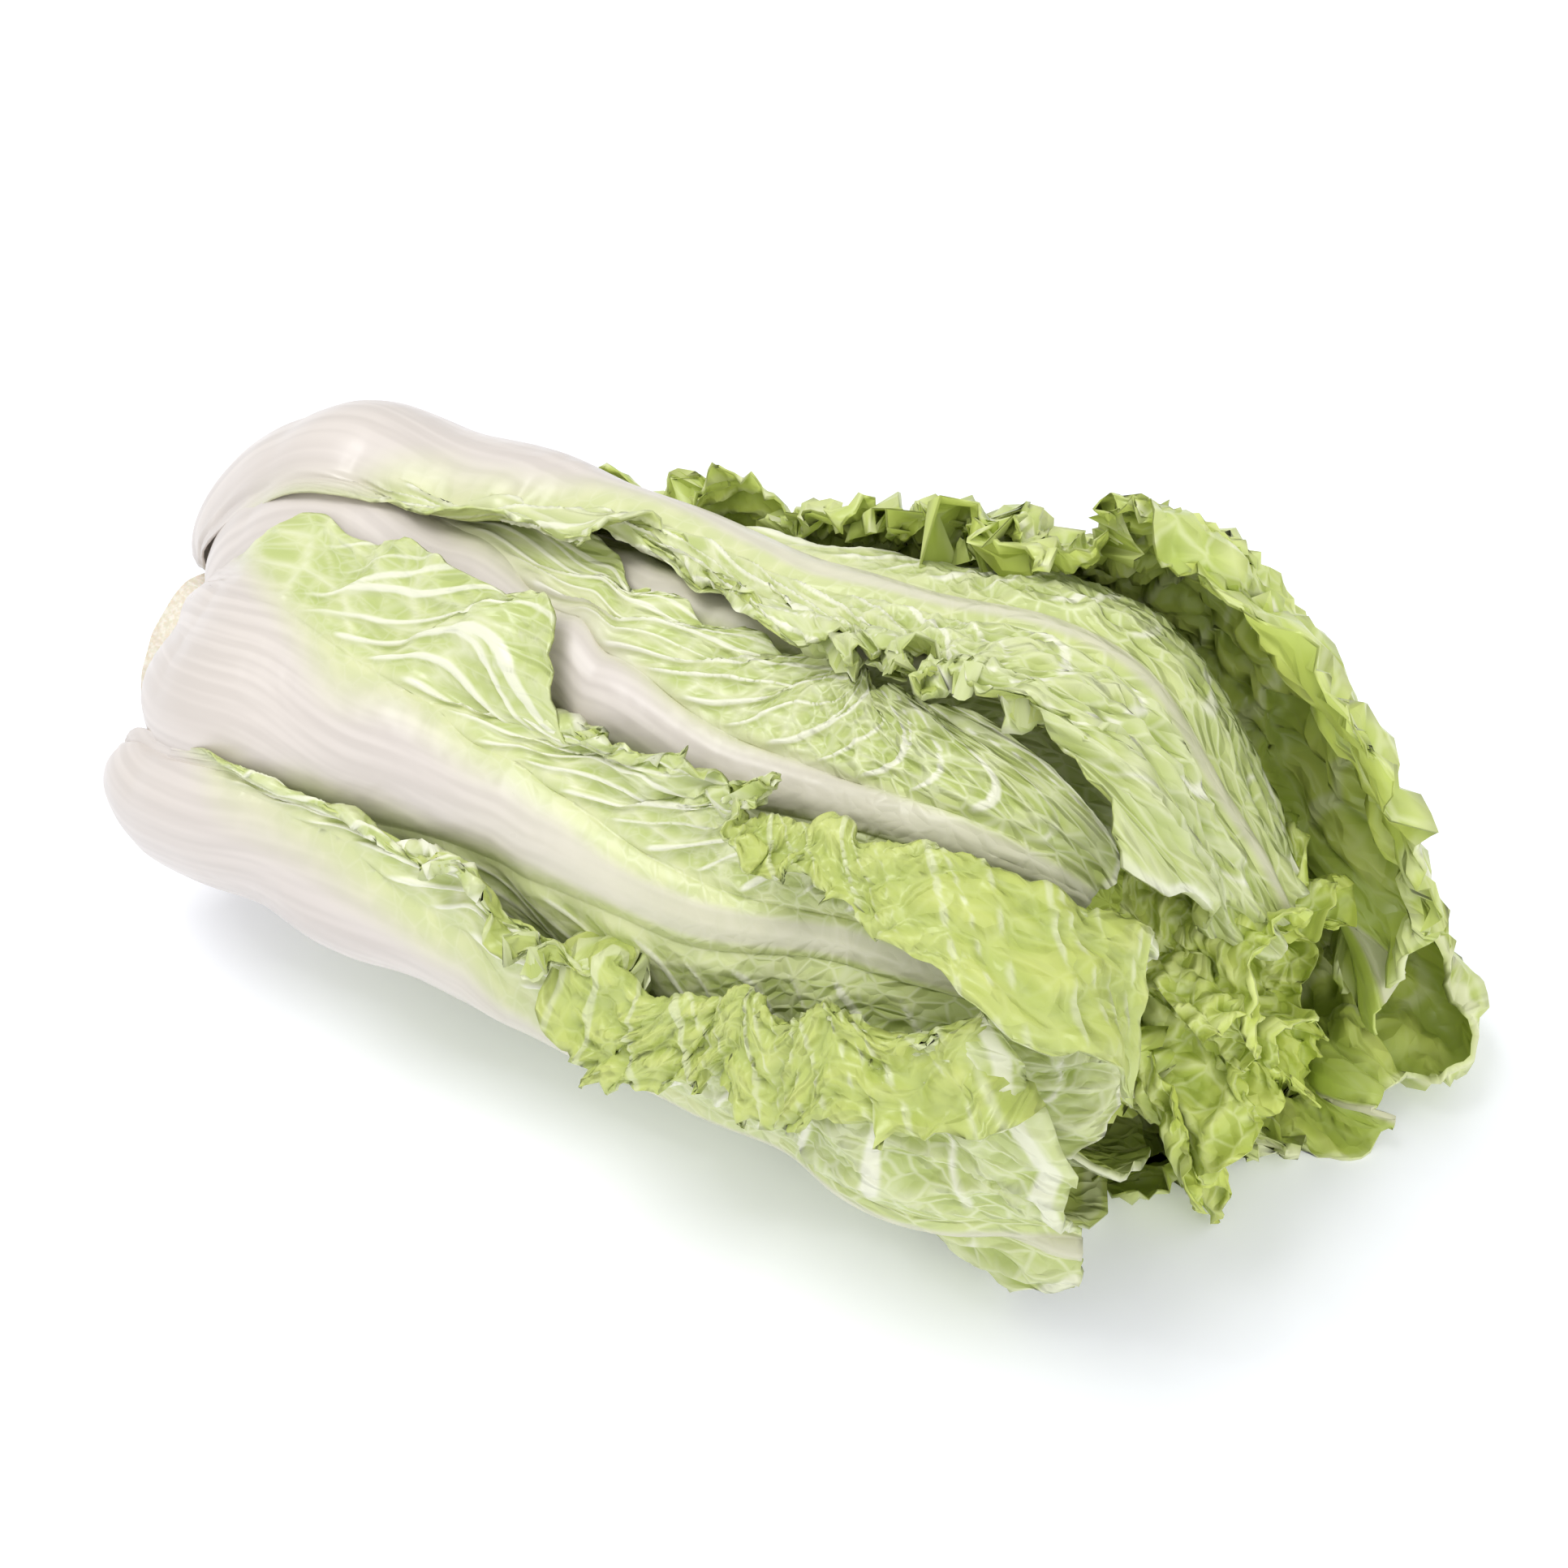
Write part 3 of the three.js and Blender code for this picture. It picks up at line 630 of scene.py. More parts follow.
def veins_at(leaf, s, side, blade, run):
    """How far up on a vein a point is, from 0 to 1."""
    seed = leaf["seed"]
    spacing = VEIN_SLANT * (leaf["tip"] - leaf["start"]) / leaf["veins"]
    width = mix(VEIN_WIDTH, VEIN_WIDTH_AT_MARGIN, blade) * mix(1, VEIN_NARROWS_TO, smoothstep(80, 190, run))
    thin = 0.8 * width
    wander = cloud(s * leaf["veins"] * 0.45, blade * 2 + side * 7, seed) * smoothstep(0, 0.3, blade)
    number = s * leaf["veins"] + VEIN_WANDER * wander - VEIN_SWEEP * blade * (1 - smoothstep(0.8, 1, s))
    nearest = np.round(number)

    def ridge(off, wide):
        return np.exp(-(off * spacing / wide) ** 2)

    main = ridge(number - nearest, width) * (0.75 + 0.25 * chance(seed + side, nearest))
    fork_side = side * np.sign(0.5 - chance(seed, nearest + 9))
    off_fork = number - nearest - FORK_OPENS * fork_side * smoothstep(0.3, 1, blade)
    fork = 0.7 * ridge(off_fork, thin) * smoothstep(0.3, 0.45, blade)
    between = ridge(fraction(number) - 0.5, thin) * (0.5 + 0.3 * chance(seed, np.floor(number) + 3))
    return np.maximum(np.maximum(main, fork), between)


# %% [markdown]
# Between the veins the skin is puckered into cells, large ones with small ones on them. A cell bulges
# towards the inner face, so from outside it is a hollow in a raised net, and from inside a blister.

# %% The puckers
BIG_CELL = 12.5
SMALL_CELL = 5.2
BIG_PUCKER = 2.4
SMALL_PUCKER = 1.3
PUCKER_NEAR_RIB = dict(pale=0.06, fresh=0.7, bright=0.8)
CELL_SCALE = dict(pale=0.9, fresh=1, bright=0.9)


def puckers_at(leaf, mm_along, mm_across):
    """How far the skin stands out, how much of the net is there, and how domed the cell is."""
    seed = leaf["seed"]
    bend = 0.22 * cloud(mm_along / 14, mm_across / 14, seed + 3)
    big = BIG_CELL * CELL_SCALE[leaf["finish"]]
    big_wall, big_dome = cells(mm_along / big + bend, mm_across / (big * 0.8), seed)
    small_wall, small_dome = cells(mm_along / SMALL_CELL, mm_across / SMALL_CELL + bend, seed + 9)
    skin = BIG_PUCKER * (1 - big_dome) + SMALL_PUCKER * (1 - small_dome)
    net = np.maximum(np.exp(-(big_wall / 0.10) ** 2), 0.6 * np.exp(-(small_wall / 0.12) ** 2))
    return skin, net, mix(big_dome, small_dome, 0.3)


# %% [markdown]
# The margin grows faster still, and can only ruffle. A ruffle stands out of the sheet and is pushed
# along it. Each kind of leaf has its own length, height and reach of the ruffles, and its own lean.

# %% The ruffles
RUFFLES = dict(pale=(26, 3.2, 8, 0.4), fresh=(38, 9, 24, -0.35), bright=(26, 6, 15, 0))
SMALL_RUFFLE_LENGTH = 9.5
PRESSED_RUFFLE = 0.1


def ruffles_at(leaf, p, mm_along, from_margin, side, bare):
    """How far the margin stands out of the sheet there, and how far it is pushed along it."""
    seed = leaf["seed"]
    length, height, reach, lean = RUFFLES[leaf["finish"]]
    near_margin = np.exp(-np.maximum(0, from_margin) / reach) * p["free"] * mix(PRESSED_RUFFLE, 1, bare)
    strong = near_margin * height * leaf["ragged"] * p["room"]
    strong = strong * (1 + 0.5 * cloud(mm_along / 25, side * 9.0, seed))
    if leaf["finish"] == "fresh":
        strong = strong * mix(0.35, 1, smoothstep(130, 200, p["u"]))
    walk = 2 * np.pi * (mm_along / length + 0.55 * cloud(mm_along / 30, side * 5.0, seed)) + seed
    small_walk = 2 * np.pi * mm_along / SMALL_RUFFLE_LENGTH
    small_walk = small_walk + 3 * cloud(mm_along / 11, side * 3.0, seed + 2)
    out = strong * (lean + 0.6 * np.sin(walk) + 0.2 * np.sin(small_walk))
    slide = strong * (0.25 * np.cos(walk) + 0.1 * np.cos(small_walk))
    return out, slide


# %% [markdown]
# Some margins turn right over and lie on the leaf, with the paler inner face up. The strip beyond the
# fold is bent round an arc and goes on straight, and keeps its puckers as it turns.

# %% Turned margins
BEFORE_FOLD = 4
LEAST_TURN = 0.05
EVEN_REACH = 6


def unit(v):
    return v / np.maximum(1e-9, np.linalg.norm(v, axis=-1, keepdims=True))


def directions(points):
    """The direction along a grid of points, and straight out of it."""
    down = np.gradient(points, axis=0)
    over = np.gradient(points, axis=1)
    return unit(down), unit(np.cross(over, down))


def evened(rows):
    """Each row becomes the average of those within reach."""
    last = len(rows) - 1
    near = [rows[np.clip(np.arange(last + 1) + k, 0, last)] for k in range(-EVEN_REACH, EVEN_REACH + 1)]
    return np.mean(near, axis=0)


def roll_margin(block, reach, roll, sign, u):
    """The rib-to-margin half of a leaf with its margin bent outwards and folded back over the leaf."""
    stations, degrees, widths = roll
    count = len(block)
    turn = np.radians(along(stations, degrees, u[:, -1]))
    width = along(stations, widths, u[:, -1])
    fold = evened(reach[:, -1]) - width
    out = directions(block)[1] * sign

    def at(values, place):
        return np.array([[np.interp(place[i], reach[i], values[i, :, k]) for k in range(3)]
                         for i in range(count)])

    here = at(block, fold)
    tangent = unit(evened(here - at(block, fold - BEFORE_FOLD)))
    normal = evened(at(out, fold))
    normal = unit(normal - tangent * np.sum(normal * tangent, axis=1, keepdims=True))
    result = block.copy()
    for i in range(count):
        beyond = reach[i] > fold[i]
        if turn[i] < LEAST_TURN or fold[i] <= BEFORE_FOLD or beyond.sum() < 2:
            continue
        arc = min(width[i], BEND_WIDTH)
        bend = turn[i] / arc
        d = reach[i][beyond] - fold[i]
        on_arc = np.minimum(d, arc)
        past = np.maximum(0, d - arc)
        forward = np.sin(bend * on_arc) / bend + past * np.cos(turn[i])
        outward = (1 - np.cos(bend * on_arc)) / bend + past * np.sin(turn[i])
        relief = (block[i][beyond] - here[i] - np.outer(d, tangent[i])) @ normal[i]
        outward = outward + relief * np.cos(bend * on_arc)
        result[i][beyond] = here[i] + np.outer(forward, tangent[i]) + np.outer(outward, normal[i])
    return result


# %% [markdown]
# The white flesh of the rib is widest at the foot, narrower than the thick part of the rib further on,
# and fades into green at its sides and along its length.

# %% The white flesh
WHITE_HALF_WIDTH = [25, 22, 12, 6, 3.5, 2.5, 1.5, 1]
WHITE_END = 165
WHITE_FOOT = 14
WHITE_FAINTEST = 0.6


def white_at(leaf, p, mm_along, side):
    run = p["run"] * WHITE_END / leaf["white_end"]
    flesh = along(RIB_AT, WHITE_HALF_WIDTH, run) * (1 + 0.25 * cloud(mm_along / 18, side * 3.0, leaf["seed"]))
    fade = mix(12, 1.5, smoothstep(50, WHITE_END, run))
    past = p["across"] - flesh - WHITE_FOOT * (1 - smoothstep(10, 70, p["u"]))
    return (1 - smoothstep(-0.5 * fade, fade, past)) * mix(1, WHITE_FAINTEST, smoothstep(90, WHITE_END, run))


# %% [markdown]
# All of that comes together in one leaf. Where another leaf lies on top, the skin is pressed nearly
# smooth, so that nothing pokes through it, and the margins near the foot are tucked in. The sheet then
# gets its two skins, one on each side of its middle, and thins towards the margin.

# %% A whole leaf
RIB_SHARE = 0.2
VEIN_HEIGHT = 2.2
NET_HEIGHT = 0.2
RIDGE_HEIGHT = 0.05
EDGE_THICKNESS = 0.5
EDGE_REACH = 14
TUCK = 2
FOOT_TUCK = 5
INNER_SKIN_LOWEST = 0.3


def build_leaf(leaf):
    rows, columns = leaf["size"]
    s, w = sheet_grid(rows + 1, columns + 1)
    side = np.where(w < 0, -1, 1)
    far = np.abs(w)
    rib = np.minimum(1, far / RIB_SHARE)
    blade = np.maximum(0, (far - RIB_SHARE) / (1 - RIB_SHARE))
    p = leaf_run(leaf, leaf["soft_bed"], s, side, rib, blade, fine=True)
    u, thickness, across = p["u"], p["thickness"], p["across"]
    mm_along = p["run"] + 0.35 * across
    mm_across = side * across

    # Where the sheet lies.
    bare = np.clip(read_map(leaf["bare"], u, p["degrees"]), 0, 1)
    bare = np.maximum(bare, smoothstep(185, 210, u) * (0.9 if leaf["finish"] != "pale" else 0.3))
    tuck = mix(FOOT_TUCK, TUCK, smoothstep(40, 90, u)) * (1 - smoothstep(130, 180, u))
    points = place(u, p["degrees"], p["height"] - tuck * (across / p["half"]) ** 2)
    clear = 0 if leaf["name"] == "end_leaf" else CLEAR_OF_FLOOR
    points[..., 2] = np.maximum(points[..., 2], thickness / 2 + clear - FLAT_DEPTH)

    # What is on its skin.
    on_blade = smoothstep(0.02, 0.16, blade)
    out_of_foot = smoothstep(28, 75, u)
    vein = veins_at(leaf, s, side, blade, p["run"]) * on_blade * out_of_foot
    outward = np.maximum(smoothstep(0.3, 1, blade) * smoothstep(60, 150, u), smoothstep(0.55, 0.95, s))
    outward = np.maximum(outward, 0.5 * smoothstep(0.5, 1, blade))
    skin, net, dome = puckers_at(leaf, mm_along, mm_across)
    depth = mix(PUCKER_NEAR_RIB[leaf["finish"]], 1, outward) * on_blade * out_of_foot * (1 - 0.75 * vein)
    skin = skin * leaf["pucker"] * depth * mix(0.15, 1, bare) * p["room"]
    net = net * on_blade

    # Its margins, ruffled and turned over, one side at a time from the rib to the margin.
    to_edge = np.where(blade < 1, p["half"] - np.minimum(across, p["half"]), 0)
    from_margin = np.minimum(to_edge, (1 - s) * (leaf["tip"] - leaf["start"]))
    stand_out, slide = ruffles_at(leaf, p, mm_along, from_margin, side, bare)
    down, out = directions(points)
    points = points + out * stand_out[..., None] + down * slide[..., None]
    for sign, roll in zip((-1, 1), leaf["rolls"]):
        if roll is not NO_ROLL:
            part = slice(columns // 2, None, sign)
            points[:, part] = roll_margin(points[:, part], across[:, part], roll, sign, u[:, part])

    # Its two skins.
    out = directions(points)[1]
    grooves = np.sin(mm_across * 1.5 + 2 * cloud(mm_along / 40, mm_across / 6, leaf["seed"]))
    grooves = grooves + cloud(mm_along / 9, mm_across / 3, leaf["seed"])
    thin = mix(EDGE_THICKNESS / BLADE_THICKNESS, 1, smoothstep(0, EDGE_REACH, from_margin))
    body = thickness * thin / 2
    relief = VEIN_HEIGHT * vein * mix(1, 0.45, blade) * mix(0.3, 1, bare)
    relief = relief + NET_HEIGHT * net * bare + RIDGE_HEIGHT * p["rib_profile"] * grooves
    outer = points + out * (body + skin + relief)[..., None]
    inner = points + out * (-body + skin)[..., None]
    outer[..., 2] = np.maximum(outer[..., 2], 0)
    inner[..., 2] = np.maximum(inner[..., 2], INNER_SKIN_LOWEST)

    flat = np.stack([mm_along, mm_across, np.full_like(mm_along, leaf["seed"] * 31.0)], axis=-1) * METRE
    layers = dict(white=white_at(leaf, p, mm_along, side), vein=vein, net=net, blade=blade,
                  outward=outward, flat=flat, dome=dome * on_blade, margin=np.exp(-from_margin / 3))
    piece, row, column, on_outer = slab(leaf["name"] + "_skin", rows, columns)
    fill(piece, row, column, on_outer, outer, inner, layers)
    dress(piece, leaf["name"])
    return piece


# %% Make the leaves
leaf_pieces = {one["name"]: build_leaf(one) for one in LEAVES}

# %% [markdown]
# The heart is what shows in the gap at the leafy end: a dense bud and its curled, blistered tips. The
# bud is a sphere pulled to the heart's outline. Each tip is a slab like the leaves, with closer
# blisters and tighter curls, because these leaves are young and have had no room to spread.

# %% The heart
HEART_TIPS = [
    dict(angle=75, half=52, inner=15, outer=30, reach=30, seed=21),
    dict(angle=-45, half=50, inner=15, outer=30, reach=33, seed=22),
    dict(angle=-165, half=50, inner=15, outer=28, reach=30, seed=23),
    dict(angle=130, half=46, inner=20, outer=37, reach=27, seed=26),
    dict(angle=10, half=46, inner=20, outer=36, reach=28, seed=27),
    dict(angle=20, half=62, inner=7, outer=17, reach=34, seed=24),
    dict(angle=-150, half=62, inner=7, outer=16, reach=37, seed=25),
]
TIP_ROWS = 50
TIP_COLUMNS = 70
TIP_ROOT = 14
TIP_LENGTH = 45
TIP_BIG_PUCKER = 2.4
TIP_SMALL_PUCKER = 1.1


def to_head(x, r, degrees):
    angle = np.radians(degrees)
    points = np.stack([x, -r * np.sin(angle), r * np.cos(angle) + middle_height(x)], axis=-1)
    return points + SHIFT


def build_heart_body():
    deselect_all()
    bpy.ops.mesh.primitive_uv_sphere_add(segments=96, ring_count=80, radius=1)
    body = bpy.context.object
    body.name = "heart_skin"
    ball = corners_of(body).astype(float)
    u = np.arccos(np.clip(-ball[:, 2], -1, 1)) / np.pi * LINE_END
    degrees = np.degrees(np.arctan2(-ball[:, 1], ball[:, 0]))
    pole = np.hypot(ball[:, 0], ball[:, 1]) < 1e-5
    wrinkles = 0.8 * cloud(u / 16, degrees / 20, 2) * smoothstep(10, 40, u)
    angle = np.radians(degrees)
    r = np.maximum(0, radius_at(u) - 1 + wrinkles) * pressed(angle)
    r = np.where(pole, 0, r)
    x = np.interp(u, LINE_U, LINE_X)
    move_corners(body, to_head(x, r, degrees))
    store_layer(body, "flat", np.stack([u, degrees * 0.7, np.full_like(u, 620)], axis=-1) * METRE)
    for layer in ("white", "vein", "net", "dome", "margin"):
        store_layer(body, layer, u * 0)
    for layer in ("blade", "outward", "inside"):
        store_layer(body, layer, u * 0 + 1)
    bpy.ops.object.mode_set(mode="EDIT")
    face_outwards()
    bpy.ops.object.shade_smooth()
    return body


def build_heart_tip(tip, name):
    s, w = sheet_grid(TIP_ROWS + 1, TIP_COLUMNS + 1)
    seed = tip["seed"]
    phase = 2 * np.pi * chance(seed, 1)
    reach = tip["reach"] * (1 - 0.3 * w**2) + 1.6 * jagged(w * 9, seed) + 1.0 * jagged(w * 23, seed + 3)
    x = mix(HEART_END - TIP_ROOT, HEART_END + reach, s) + 2 * s * np.cos(9 * w + phase)
    wave = 5 * s * np.sin(6 * w + phase) + 2 * s * np.sin(7 * s + 3 * w)
    wave = wave + 1.2 * s**2 * np.sin(15 * w + 2 * phase)
    r = mix(tip["inner"], tip["outer"], s**2) + wave
    degrees = tip["angle"] + w * tip["half"]
    points = to_head(x, r, degrees)
    out = directions(points)[1]
    mm_along = s * TIP_LENGTH
    mm_across = w * np.radians(tip["half"]) * r
    wall, dome = cells(mm_along / 9, mm_across / 9, seed)
    small_wall, small_dome = cells(mm_along / 4.4, mm_across / 4.4, seed + 1)
    skin = TIP_BIG_PUCKER * (1 - dome) + TIP_SMALL_PUCKER * (1 - small_dome)
    body = mix(0.6, 0.25, s)
    outer = points + out * (body + skin)[..., None]
    inner = points + out * (-body + skin)[..., None]
    outer[..., 2] = np.maximum(outer[..., 2], 1)
    inner[..., 2] = np.maximum(inner[..., 2], 1.4)
    net = np.exp(-(wall / 0.12) ** 2)
    flat = np.stack([mm_along, mm_across, np.full_like(s, seed * 31.0)], axis=-1) * METRE
    layers = dict(white=s * 0, vein=s * 0, net=net, blade=s * 0 + 1, outward=s * 0 + 1, flat=flat,
                  dome=mix(dome, small_dome, 0.3), margin=np.exp(-(1 - s) * 15))
    piece, row, column, on_outer = slab(name, TIP_ROWS, TIP_COLUMNS)
    fill(piece, row, column, on_outer, outer, inner, layers)
    return piece


heart_piece = build_heart_body()
heart_tips = [build_heart_tip(tip, "heart_tip_" + str(i)) for i, tip in enumerate(HEART_TIPS)]
deselect_all()
for part in heart_tips + [heart_piece]:
    part.select_set(True)
bpy.context.view_layer.objects.active = heart_piece
bpy.ops.object.join()
dress(heart_piece, "heart")

# %% [markdown]
# The stem was cut with a knife, so it ends in a flat face with a slightly raised rim, where the leaf
# bases pull back as they dry. It starts as a cylinder, is inset into rings and shaped ring by ring.

# %% The cut stem
STEM_RADIUS = 18
STEM_CUT_RADIUS = 21
STEM_INSIDE = 9
STEM_CORNERS = 72
STEM_FACE_RINGS = 7
STEM_FACE_RING = 0.12


def build_stem():
    deselect_all()
    bpy.ops.mesh.primitive_cylinder_add(vertices=STEM_CORNERS, radius=1, depth=2, end_fill_type="NGON")
    piece = bpy.context.object
    piece.name = "stem_skin"
    bpy.ops.object.mode_set(mode="EDIT")
    bpy.ops.mesh.select_all(action="SELECT")
    bpy.ops.mesh.subdivide(number_cuts=1)
    bpy.ops.mesh.select_all(action="DESELECT")
    bpy.ops.object.mode_set(mode="OBJECT")
    for face in piece.data.polygons:
        face.select = abs(face.normal.z) > 0.9
    bpy.ops.object.mode_set(mode="EDIT")
    for _ in range(STEM_FACE_RINGS):
        bpy.ops.mesh.inset(thickness=STEM_FACE_RING, use_individual=True)
    bpy.ops.mesh.poke()
    face_outwards()
    mesh = piece.data
    co = corners_of(piece).astype(float)
    radius = np.hypot(co[:, 0], co[:, 1])
    degrees = np.degrees(np.arctan2(co[:, 1], co[:, 0]))
    cut = co[:, 2] < -0.99
    inward = (co[:, 2] + 1) / 2
    x = mix(STEM_OUTSIDE, STEM_INSIDE, inward)
    full = mix(STEM_CUT_RADIUS, STEM_RADIUS, smoothstep(0, 0.4, inward))
    full = full * mix(1, 0.55, smoothstep(0.5, 1, inward))
    lobes = 1 + 0.02 * np.cos(np.radians(degrees * 5 + 40)) + 0.008 * np.cos(np.radians(degrees * 11))
    r = full * radius * lobes
    rim = 0.9 * np.exp(-((radius - 0.88) / 0.08) ** 2) + 0.25 * np.cos(radius * 26) * (radius < 0.8)
    x = x + np.where(cut, 1.1 - rim + 0.4 * cloud(co[:, 0] * 5, co[:, 1] * 5, 4), 0)
    x = x - np.where(co[:, 2] > 0.99, 2.5 * radius**2, 0)
    move_corners(piece, to_head(x, r, degrees))
    if volume_of(piece) < 0:
        mesh.flip_normals()
    for face in mesh.polygons:
        face.use_smooth = True
    dress(piece, "stem")
    return piece


stem_piece = build_stem()

# %% [markdown]
# A leaf's finish is living skin over wet flesh. It is smooth and waxy, so it takes soft highlights.
# Its colour runs from the white of the rib through pale green to fresh green at the margin, and the
# veins stay white. The leaves of the heart have seen less light and are the most yellow.

# %% Helpers for finishes


def paint(hex_colour):
    """An sRGB hex colour as the linear values that the shader takes."""
    values = [int(hex_colour[i:i + 2], 16) / 255 for i in (1, 3, 5)]
    return [v / 12.92 if v <= 0.04045 else ((v + 0.055) / 1.055) ** 2.4 for v in values] + [1.0]


def add(tree, kind, settings=None, **inputs):
    """Adds a node. An input is a value, or another node's output socket."""
    node = tree.nodes.new(kind)
    for name, value in (settings or {}).items():
        setattr(node, name, value)
    for name, value in inputs.items():
        key = int(name[1:]) if name[0] == "i" and name[1:].isdigit() else name.replace("_", " ")
        socket = node.inputs[key]
        if isinstance(value, bpy.types.NodeSocket):
            tree.links.new(value, socket)
        else:
            socket.default_value = value
    return node


def blend(tree, amount, first, second, mode="MIX"):
    node = add(tree, "ShaderNodeMix", dict(data_type="RGBA", blend_type=mode), i0=amount, i6=first, i7=second)
    return node.outputs[2]


def math_of(tree, operation, *values, clamp=False):
    inputs = {"i" + str(k): value for k, value in enumerate(values)}
    return add(tree, "ShaderNodeMath", dict(operation=operation, use_clamp=clamp), **inputs).outputs[0]


def plus(tree, a, b):
    return math_of(tree, "ADD", a, b)


def times(tree, a, b):
    return math_of(tree, "MULTIPLY", a, b)


def reverse(tree, value):
    """1 becomes 0, and 0 becomes 1."""
    return math_of(tree, "SUBTRACT", 1.0, value)


def ramp(tree, value, low, high):
    """0 below low, 1 above high."""
    return add(tree, "ShaderNodeMapRange", dict(interpolation_type="SMOOTHSTEP"), Value=value,
               From_Min=low, From_Max=high).outputs["Result"]


def noise(tree, where, scale, detail):
    return add(tree, "ShaderNodeTexNoise", Vector=where, Scale=scale, Detail=detail).outputs["Fac"]


def new_finish(name):
    material = bpy.data.materials.new(name)
    material.use_nodes = True
    return material, material.node_tree, material.node_tree.nodes["Principled BSDF"]


def dial(shader, **values):
    """Sets the shader's own values, such as Coat_Weight for Coat Weight."""
    for name, value in values.items():
        shader.inputs[name.replace("_", " ")].default_value = value


def roughen(tree, shader, heights, strength, metres):
    bump = add(tree, "ShaderNodeBump", Strength=strength, Distance=metres, Height=heights)
    tree.links.new(bump.outputs["Normal"], shader.inputs["Normal"])


def wear(piece, material):
    piece.data.materials.clear()
    piece.data.materials.append(material)


# %% [markdown]
# The mesh carries where each thing is: its white flesh, veins, net, cells, margin and inner face, and
# "flat", its place on the leaf if it were unrolled. The finish reads them, and adds what is finer than
# the mesh: clouds of green, a net of tiny cells, streaks along the rib and a few dark specks.

# %% The leaf finishes
CLOUD_SCALE = 40.0
MOTTLE_SCALE = 260.0
FINE_NET_SCALE = 250.0
STREAK_SCALE = 420.0
SPECK_SCALE = 75.0
SPECK_SHARE = 0.9
SPECK_SIZE = 0.035
BUMP_METRES = 0.0007
MOTTLE_DARK = (0.93, 0.95, 0.88, 1.0)
MOTTLE_LIGHT = (1.03, 1.02, 1.03, 1.0)
STREAK_SHADE = "#CFC7C0"
SPECK_COLOUR = "#2E3A22"


